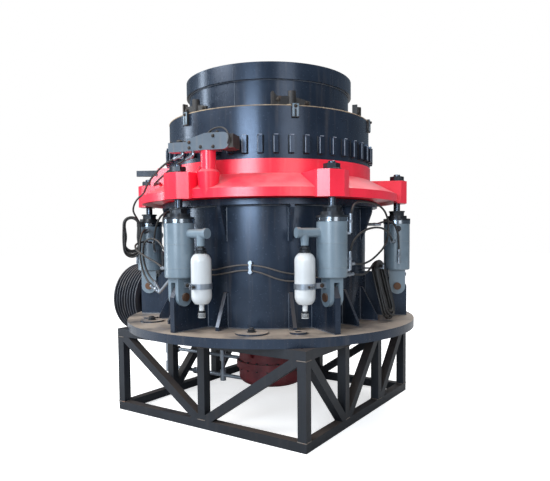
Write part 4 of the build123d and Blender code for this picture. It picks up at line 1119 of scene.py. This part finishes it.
@dataclass(frozen=True)
class ReleaseGear:
    """Where the six release cylinders and their gas bottles stand.

    Attributes:
        first: Angle of the first cylinder in degrees.
        count: Number of cylinders.
        circle: Radius on which they stand.
        spacing: Distance from a cylinder to its bottle.
    """

    first: float = -92.5
    count: int = 6
    circle: float = 0.982
    spacing: float = 0.191

    def places(self) -> list[tuple[float, float, Matrix]]:
        """Find the cylinders.

        Returns:
            The angle, the side that the bottle is on, and the placement of each cylinder.
        """
        found = []
        for index in range(self.count):
            angle = self.first + 360.0 / self.count * index
            found.append((angle, 1.0 if index % 2 == 0 else -1.0, around(self.circle, angle, 0.0)))
        return found


GEAR = ReleaseGear()


@dataclass(frozen=True)
class Welds:
    """Weld beads of the stand, the shell, its ribs, gussets and brackets.

    Attributes:
        shell: Radius on which the shell's beads lie.
        plate_top: Height of the base plate's top.
        flange: Height of the seat flange's underside.
        radius: Radius of a bead.
        bracket: Half thickness, outer end and top of a cylinder's bracket.
        gusset: The same of a lower gusset.
        rib: Half thickness, outer end and foot of an upper rib.
        rib_turns: Angles from a cylinder to the ribs on its bottle's side and on the other.
        tube: Side of the stand's box section.
        tube_radius: Radius of a bead on the stand.
        posts: Plan points of the stand's posts.
        joints: Heights of the posts' lower and upper beads.
    """

    shell: float = 0.741
    plate_top: float = 0.670
    flange: float = 1.490
    radius: float = 0.0045
    bracket: Triple = (0.0190, 1.052, 1.006)
    gusset: Triple = (0.0125, 0.866, 0.906)
    rib: Triple = (0.0125, 0.824, 1.252)
    rib_turns: Pair = (13.0, -20.0)
    tube: float = 0.060
    tube_radius: float = 0.0032
    posts: tuple[Pair, ...] = (
        (-0.767, -0.835), (-0.767, 0.735), (0.803, -0.835), (0.803, 0.735), (0.018, -0.835), (0.018, 0.735),
        (-0.767, -0.3217), (-0.767, 0.2217), (0.803, -0.3217), (0.803, 0.2217),
    )
    joints: Pair = (0.061, 0.549)

    def dress(self, materials: Materials) -> None:
        """Lay the beads.

        Args:
            materials: The materials by slot or trim.
        """
        beads, stand = Blank(), Blank()
        for height in (self.plate_top + 0.002, self.flange - 0.002):
            beads.bead(ring_path(self.shell, height, 240), self.radius, closed=True)
        foot, head = self.plate_top + 0.001, self.flange - 0.001
        for angle, side, _ in GEAR.places():
            self._corner(beads, angle, self.bracket, foot, self.radius)
            for turned in self.rib_turns:
                self._corner(beads, angle + side * turned, self.gusset, foot, self.radius)
                self._corner(beads, angle + side * turned, self.rib, head, self.radius * 0.8)
        beads.finish("frame_weld_beads", Body.FRAME, "frame_paint", materials["weld"])
        half = self.tube / 2 + 0.001
        for x, y in self.posts:
            for level in self.joints:
                corners = ((1, 1), (-1, 1), (-1, -1), (1, -1), (1, 1))
                stand.weld([(x + half * a, y + half * b, level) for a, b in corners], self.tube_radius, closed=True)
        stand.finish("stand_weld_beads", Body.FRAME, "stand_paint", materials["stand_weld"])

    def _corner(self, beads: Blank, angle: float, plate: Triple, level: float, radius: float) -> None:
        """Lay beads on both sides of an upright plate, along its level edge and along the shell.

        Args:
            beads: The piece in the making.
            angle: The plate's angle in degrees.
            plate: Its half thickness, its outer end, and the height where its back ends.
            level: Height of the level beads.
            radius: Radius of the beads.
        """
        half, reach, end = plate
        for side in (-half, half):
            beads.weld(((reach, side, level), (self.shell, side, level), (self.shell, side, end)), radius,
                       around(0.0, angle, 0.0))


@dataclass(frozen=True)
class Seams:
    """The thin seams round the release cylinders, their plugs, and washers under the rod nuts.

    Attributes:
        barrel: Radius of a barrel.
        seams: Heights of the seams.
        plug: Height of the plugs' middle.
        lug_top: Height of the lugs' top.
    """

    barrel: float = 0.0975
    seams: Pair = (1.236, 1.084)
    plug: float = 1.335
    lug_top: float = 1.692

    def dress(self, materials: Materials) -> None:
        """Add the seams, plugs and washers.

        Args:
            materials: The materials by slot or trim.
        """
        seams, washers, plugs = Blank(), Blank(), Blank()
        for _, side, place in GEAR.places():
            for height in self.seams:
                seams.band(self.barrel - 0.001, self.barrel + 0.0012, height - 0.003, height + 0.003, 0.002,
                           place, 48)
            washers.stud(0.064, self.lug_top, self.lug_top + 0.007, place, 40, inner=0.027, cut=(0.002, 0.002))
            out = place @ Matrix.Translation((0.0, -side * self.barrel, self.plug)) @ Matrix.Rotation(
                math.radians(90.0 * side), 4, "X")
            plugs.stud(0.021, -0.004, 0.008, out, 28, cut=(0.002, 0.002))
            plugs.stud(0.014, 0.008, 0.019, out, 6, cut=(0.002, 0.002))
        seams.finish("cylinder_seams", Body.FRAME, "cylinder_paint", materials["cylinder_paint"])
        washers.finish("rod_washers", Body.RING, "dark_steel", materials["dark_steel"])
        plugs.finish("cylinder_plugs", Body.FRAME, "dark_steel", materials["dark_steel"])


@dataclass(frozen=True)
class Fasteners:
    """Bolts on the hub, the drive housing, the wheel, the feed plate and the cover discs.

    Attributes:
        drive: Height of the drive's axis.
        hub: Circle of the bolts in the hub's flange.
        hub_top: Height of the flange's upper side.
        hub_foot: Height of its lower side.
        housing: Circle and face of the drive housing's bolts.
        wheel: Circle and face of the wheel's bolts.
        feed: Circle and height of the feed plate's bolts.
        covers: Radius and angle of each cover disc.
        cover_top: Height of the cover discs' top.
    """

    drive: float = 0.731
    hub: float = 0.265
    hub_top: float = 0.316
    hub_foot: float = 0.264
    housing: Pair = (0.129, -1.130)
    wheel: Pair = (0.086, -1.467)
    feed: Pair = (0.115, 1.6695)
    covers: tuple[Pair, ...] = ((0.911, -63.5), (0.934, -125.0))
    cover_top: float = 0.680

    def dress(self, materials: Materials) -> None:
        """Add the bolts.

        Args:
            materials: The materials by slot or trim.
        """
        frame, wheel, covers = Blank(), Blank(), Blank()
        for step in range(20):
            small = Bolt(0.0095)
            small.cut(frame, around(self.hub, 18.0 * step + 9.0, self.hub_top))
            small.cut(frame, around(self.hub, 18.0 * step + 9.0, self.hub_foot) @ Matrix.Rotation(math.pi, 4, "X"))
        self._drive(frame, Bolt(0.014), self.housing, 10, 18.0, 1.0)
        frame.finish("frame_bolts", Body.FRAME, "dark_steel", materials["dark_steel"])
        self._drive(wheel, Bolt(0.015), self.wheel, 6, 0.0, -1.0)
        wheel.finish("wheel_bolts", Body.DRIVE, "dark_steel", materials["rusty_bolt"])
        for step in range(6):
            Bolt(0.015).cut(covers, around(self.feed[0], 60.0 * step, self.feed[1]))
        for radius, angle in self.covers:
            Bolt(0.027).cut(covers, around(radius, angle, self.cover_top))
        covers.finish("cover_bolts", Body.FRAME, "dark_steel", materials["dark_steel"])

    def _drive(self, blank: Blank, bolt: Bolt, circle: Pair, count: int, first: float, ahead: float) -> None:
        """Set bolts in a circle about the drive's axis.

        Args:
            blank: The piece in the making.
            bolt: The bolt.
            circle: Radius of the circle and position of the face along the drive.
            count: Number of bolts.
            first: Angle of the first one in degrees.
            ahead: 1 where the heads point along +X, -1 where along -X.
        """
        radius, face = circle
        for step in range(count):
            turn = math.radians(360.0 / count * step + first)
            spot = (face, radius * math.cos(turn), self.drive + radius * math.sin(turn))
            bolt.cut(blank, facing(spot, (ahead, 0.0, 0.0)))


@dataclass(frozen=True)
class BottleTrim:
    """Clamp lugs and bolts of the bottle straps, nuts of the bottles' necks and caps of their valves.

    Attributes:
        strap: Height of the strap's middle.
        strap_half: Half the strap's height.
        neck: Height of the upper nut's foot.
        foot: Height of the lower nut's foot.
        valve: Height of the valve cap's first ridge.
    """

    strap: float = 0.974
    strap_half: float = 0.015
    neck: float = 1.199
    foot: float = 0.806
    valve: float = 0.779

    def dress(self, materials: Materials) -> None:
        """Add the trim to the six bottles.

        Args:
            materials: The materials by slot or trim.
        """
        ears, bolts, necks = Blank(), Blank(), Blank()
        for _, side, cylinder in GEAR.places():
            bottle = cylinder @ Matrix.Translation((0.0, side * GEAR.spacing, 0.0))
            for gap in (-0.009, 0.005):
                ears.plate([(0.066, gap), (0.096, gap), (0.096, gap + 0.004), (0.066, gap + 0.004)],
                           self.strap - self.strap_half, self.strap + self.strap_half, bottle)
            across = bottle @ Matrix.Translation((0.084, -0.009, self.strap)) @ TO_MINUS_Y
            Bolt(0.009).cut(bolts, across)
            bolts.stud(0.0045, -0.028, 0.0, across, 12)
            bolts.stud(0.0085, -0.0265, -0.0185, across, 6)
            Bolt(0.013).cut(bolts, cylinder @ Matrix.Translation((0.005, side * 0.074, self.strap)) @ TO_X)
            necks.nut(0.031, self.neck, self.neck + 0.016, bottle, inner=0.019)
            necks.nut(0.024, self.foot, self.foot + 0.014, bottle, inner=0.014)
            for ridge in range(5):
                low = self.valve + 0.005 * ridge
                necks.band(0.0235, 0.0255, low, low + 0.004, 0.001, bottle, 28)
        ears.finish("strap_lugs", Body.FRAME, "zinc_plate", materials["zinc_plate"])
        bolts.finish("strap_bolts", Body.FRAME, "dark_steel", materials["rusty_bolt"])
        necks.finish("bottle_nuts", Body.FRAME, "dark_steel", materials["dark_steel"])


@dataclass(frozen=True)
class HopperTrim:
    """Seams of the hopper, dark welds of painted shade round the cap's bars, light beads of painted highlight on
    their edges, and the sealant along its top edge.

    Attributes:
        neck: Radius of the level seams round the neck.
        neck_seams: Height and radius of each of them.
        joints: Angles of the rolled plates' upright joints.
        joint_lines: Radius, foot and top of the joint in the neck and in the rim.
        bars: Number of bars on the cap.
        bar_foot: Radius at the bars' root, where the beads of painted shade lie.
        bar_face: Radius just inside the bars' face, where the beads of painted highlight lie.
        cap_edge: Radius of the cap's top edge.
        cap_top: Height of the sealant on it.
    """

    neck: float = 0.6135
    neck_seams: tuple[Pair, Pair] = ((2.130, 0.0045), (2.3325, 0.0035))
    joints: Pair = (-78.0, 102.0)
    joint_lines: tuple[Triple, Triple] = ((0.612, 2.132, 2.332), (0.633, 2.334, 2.438))
    bars: int = 48
    bar_foot: float = 0.7665
    bar_face: float = 0.7945
    cap_edge: float = 0.7645
    cap_top: float = 2.1275

    def dress(self, materials: Materials) -> None:
        """Lay the seams.

        Args:
            materials: The materials by slot or trim.
        """
        seams, bars, edges, sealant = Blank(), Blank(), Blank(), Blank()
        for height, radius in self.neck_seams:
            seams.bead(ring_path(self.neck, height, 240), radius, closed=True)
        for angle in self.joints:
            for radius, low, high in self.joint_lines:
                seams.weld(((0.0, 0.0, low), (0.0, 0.0, high)), 0.0025, around(radius, angle, 0.0))
        seams.finish("hopper_weld_beads", Body.BOWL, "frame_paint", materials["weld"])
        for step in range(self.bars):
            angle = 360.0 / self.bars * step
            # Dark beads round each bar's sides and foot: painted shade at its root.
            bars.weld(((0.0, -0.017, 1.938), (0.0, -0.017, 1.821), (0.0, 0.017, 1.821), (0.0, 0.017, 1.938)), 0.0045,
                      around(self.bar_foot, angle, 0.0))
            # Light beads up one side and along the top of each bar's face: a painted highlight on its edges.
            edges.weld(((0.0, -0.0135, 1.824), (0.0, -0.0135, 1.936), (0.0, 0.0135, 1.936)), 0.0026,
                       around(self.bar_face, angle, 0.0))
        bars.finish("cap_bar_painted_shade_welds", Body.BOWL, "frame_paint", materials["painted_shade_weld"])
        edges.finish("cap_bar_painted_highlights", Body.BOWL, "frame_paint", materials["painted_highlight_edge"])
        sealant.bead(ring_path(self.cap_edge, self.cap_top, 300), 0.0034, closed=True, lumps=0.3)
        sealant.finish("cap_sealant", Body.BOWL, "frame_paint", materials["sealant"])


@dataclass(frozen=True)
class ClampTrim:
    """Bolts, round feet and forks of the hopper clamps.

    Attributes:
        circle: Radius on which the clamps stand.
        first: Angle of the first clamp.
        count: Number of clamps.
        top: Height of the cap's top.
        fork_out: Distance from a clamp's middle to its fork.
        fork: Outline of the fork, downwards and across.
    """

    circle: float = 0.690
    first: float = -43.0
    count: int = 6
    top: float = 2.128
    fork_out: float = 0.092
    fork: tuple[Pair, ...] = ((-0.008, -0.022), (0.074, -0.022), (0.074, -0.006), (0.030, -0.006), (0.024, 0.0),
                              (0.030, 0.006), (0.074, 0.006), (0.074, 0.022), (-0.008, 0.022))

    def dress(self, materials: Materials) -> None:
        """Add the trim to the clamps.

        Args:
            materials: The materials by slot or trim.
        """
        bolts, feet, forks = Blank(), Blank(), Blank()
        for index in range(self.count):
            place = around(self.circle, self.first + 360.0 / self.count * index, self.top)
            for along, rise in ((0.098, 0.034), (-0.098, 0.050)):
                Bolt(0.014).cut(bolts, place @ Matrix.Translation((0.007, along, rise)) @ TO_X)
            feet.turn([(0.034, 0.0), (0.058, 0.0), (0.058, 0.011), (0.055, 0.014), (0.034, 0.016)], place, 40)
            out = place @ Matrix.Translation((self.fork_out, 0.0, 0.0)) @ TO_X
            forks.plate(self.fork, -0.002, 0.003, out)
            Bolt(0.011).cut(bolts, out @ Matrix.Translation((0.008, 0.0, 0.003)))
        bolts.finish("clamp_bolts", Body.BOWL, "dark_steel", materials["rusty_bolt"])
        feet.finish("clamp_feet_sealant", Body.BOWL, "frame_paint", materials["sealant"])
        forks.finish("clamp_forks", Body.BOWL, "cylinder_paint", materials["cylinder_paint"])


@dataclass(frozen=True)
class RamTrim:
    """Bolts, strip, cover and short hose of the turning ram, and the web beside its post.

    Attributes:
        centre: Top of the ram's post.
        heading: Direction of its stroke in degrees.
        side_bolts: Bolts on the casing's side, along the stroke and up.
        sleeve_bolts: Bolts on the sleeve's top, in plan.
        strip_bolts: Bolts of the strip on the casing, along the stroke.
        web: Outline of the web, outwards and up.
        web_angle: Angle at which the web stands.
        jumper: Control points of the short hose, held at both ends.
    """

    centre: Triple = (0.1545, -0.9120, 1.824)
    heading: float = 16.5
    side_bolts: tuple[Pair, ...] = ((-0.108, 0.018), (-0.108, 0.052), (0.055, 0.018), (0.055, 0.084),
                                    (-0.030, 0.020))
    sleeve_bolts: tuple[Pair, ...] = ((-0.248, -0.024), (-0.248, 0.024), (-0.150, -0.024), (-0.150, 0.024))
    strip_bolts: Pair = (0.014, 0.062)
    web: tuple[Pair, ...] = ((0.772, 1.690), (0.905, 1.690), (0.905, 1.702), (0.812, 1.786), (0.772, 1.786))
    web_angle: float = -87.6
    jumper: tuple[Triple, ...] = (
        (-0.004, -0.012, 0.094), (0.004, -0.012, 0.112), (0.040, -0.018, 0.132), (0.085, -0.028, 0.139),
        (0.126, -0.042, 0.130), (0.156, -0.056, 0.102), (0.168, -0.062, 0.070), (0.162, -0.060, 0.044),
        (0.152, -0.050, 0.032),
    )

    def dress(self, materials: Materials) -> None:
        """Add the trim.

        Args:
            materials: The materials by slot or trim.
        """
        place = Matrix.Translation(self.centre) @ Matrix.Rotation(math.radians(self.heading), 4, "Z")
        bolts, strip, web = Blank(), Blank(), Blank()
        for x, z in self.side_bolts:
            Bolt(0.010).cut(bolts, place @ Matrix.Translation((x, -0.050, z)) @ TO_MINUS_Y)
        for x, y in self.sleeve_bolts:
            Bolt(0.009).cut(bolts, place @ Matrix.Translation((x, y, 0.060)))
        for x in self.strip_bolts:
            Bolt(0.012).cut(bolts, place @ Matrix.Translation((x, 0.0, 0.111)))
        bolts.finish("ram_bolts", Body.RING, "dark_steel", materials["rusty_bolt"])
        strip.plate([(-0.004, -0.024), (0.076, -0.024), (0.076, 0.024), (-0.004, 0.024)], 0.1035, 0.111, place, 0.002)
        strip.stud(0.020, 0.0585, 0.078, place @ Matrix.Translation((-0.199, 0.0, 0.0)), 24, cut=(0.004, 0.004))
        strip.finish("ram_strip", Body.RING, "cylinder_paint", materials["clamp_paint"])
        web.plate(self.web, -0.011, 0.011, around(0.0, self.web_angle, 0.0) @ TO_MINUS_Y, 0.003)
        web.finish("ring_web", Body.RING, "ring_paint", materials["ring_paint"])
        points = [place @ Vector(spot) for spot in self.jumper]
        carried(tube("ram_jumper", points, 0.005, 6, materials["hose_rubber"]), Body.RING)


@dataclass(frozen=True)
class HoseEnds:
    """Crimped sleeves and hexagons where the fixed hoses are screwed in.

    Attributes:
        frame_ends: On the frame: the hose's end and the next point of its fitting.
        ring_ends: The same on the ring.
    """

    frame_ends: tuple[tuple[Triple, Triple], ...] = (
        ((0.928, -0.469, 1.385), (0.928, -0.469, 1.300)), ((0.900, -0.400, 1.103), (0.897, -0.480, 1.103)),
        ((0.926, -0.473, 1.150), (0.926, -0.473, 1.068)), ((0.893, 0.318, 1.240), (0.887, 0.362, 1.240)),
        ((0.924, 0.361, 1.144), (0.924, 0.361, 1.080)), ((0.790, 0.248, 1.368), (0.700, 0.220, 1.368)),
        ((-0.400, -0.668, 1.472), (-0.375, -0.627, 1.472)), ((-0.762, -0.505, 1.180), (-0.797, -0.478, 1.180)),
        ((-0.352, -0.700, 1.472), (-0.330, -0.656, 1.472)), ((-0.140, -0.928, 1.296), (-0.108, -0.945, 1.296)),
        ((-0.440, -0.828, 0.922), (-0.398, -0.817, 0.894)), ((-0.475, -0.780, 0.952), (-0.388, -0.820, 0.902)),
        ((-0.780, -0.568, 1.345), (-0.820, -0.532, 1.345)), ((-0.140, -0.925, 1.146), (-0.108, -0.943, 1.146)),
        ((-0.330, -0.848, 1.070), (-0.120, -0.957, 1.082)), ((-0.752, -0.530, 1.240), (-0.792, -0.500, 1.240)),
        ((0.893, -0.405, 1.036), (0.880, -0.480, 1.036)),
    )
    ring_ends: tuple[tuple[Triple, Triple], ...] = (
        ((-0.050, -0.968, 1.798), (-0.015, -0.963, 1.808)), ((0.020, -0.935, 1.796), (0.052, -0.938, 1.806)),
        ((-0.685, -0.532, 1.702), (-0.720, -0.480, 1.712)),
    )

    def dress(self, materials: Materials) -> None:
        """Add the sleeves.

        Args:
            materials: The materials by slot or trim.
        """
        outline = [(0.0072, -0.036), (0.0100, -0.036), (0.0108, -0.034), *ridges(0.0112, 0.0100, -0.030, 0.008),
                   (0.0112, 0.003), (0.0072, 0.004)]
        for name, body, ends in (("frame_hose_sleeves", Body.FRAME, self.frame_ends),
                                 ("ring_hose_sleeves", Body.RING, self.ring_ends)):
            blank = Blank()
            for start, following in ends:
                place = facing(start, Vector(following) - Vector(start))
                blank.turn(outline, place, 18)
                blank.nut(0.0145, 0.004, 0.020, place, cut=(0.0013, 0.002))
            blank.finish(name, body, "zinc_plate", materials["zinc_plate"])


def main() -> None:
    """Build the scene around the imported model."""
    logging.basicConfig(level=logging.INFO)
    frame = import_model()
    View().build()
    Studio().build()
    materials = Wardrobe(frame).dress()
    for part in (RIGHT_HOSE, RAM_HOSE, Welds(), Seams(), Fasteners(), BottleTrim(), HopperTrim(), ClampTrim(),
                 RamTrim(), HoseEnds()):
        part.dress(materials)
    LOG.info("scene built")


if __name__ == "__main__":
    main()
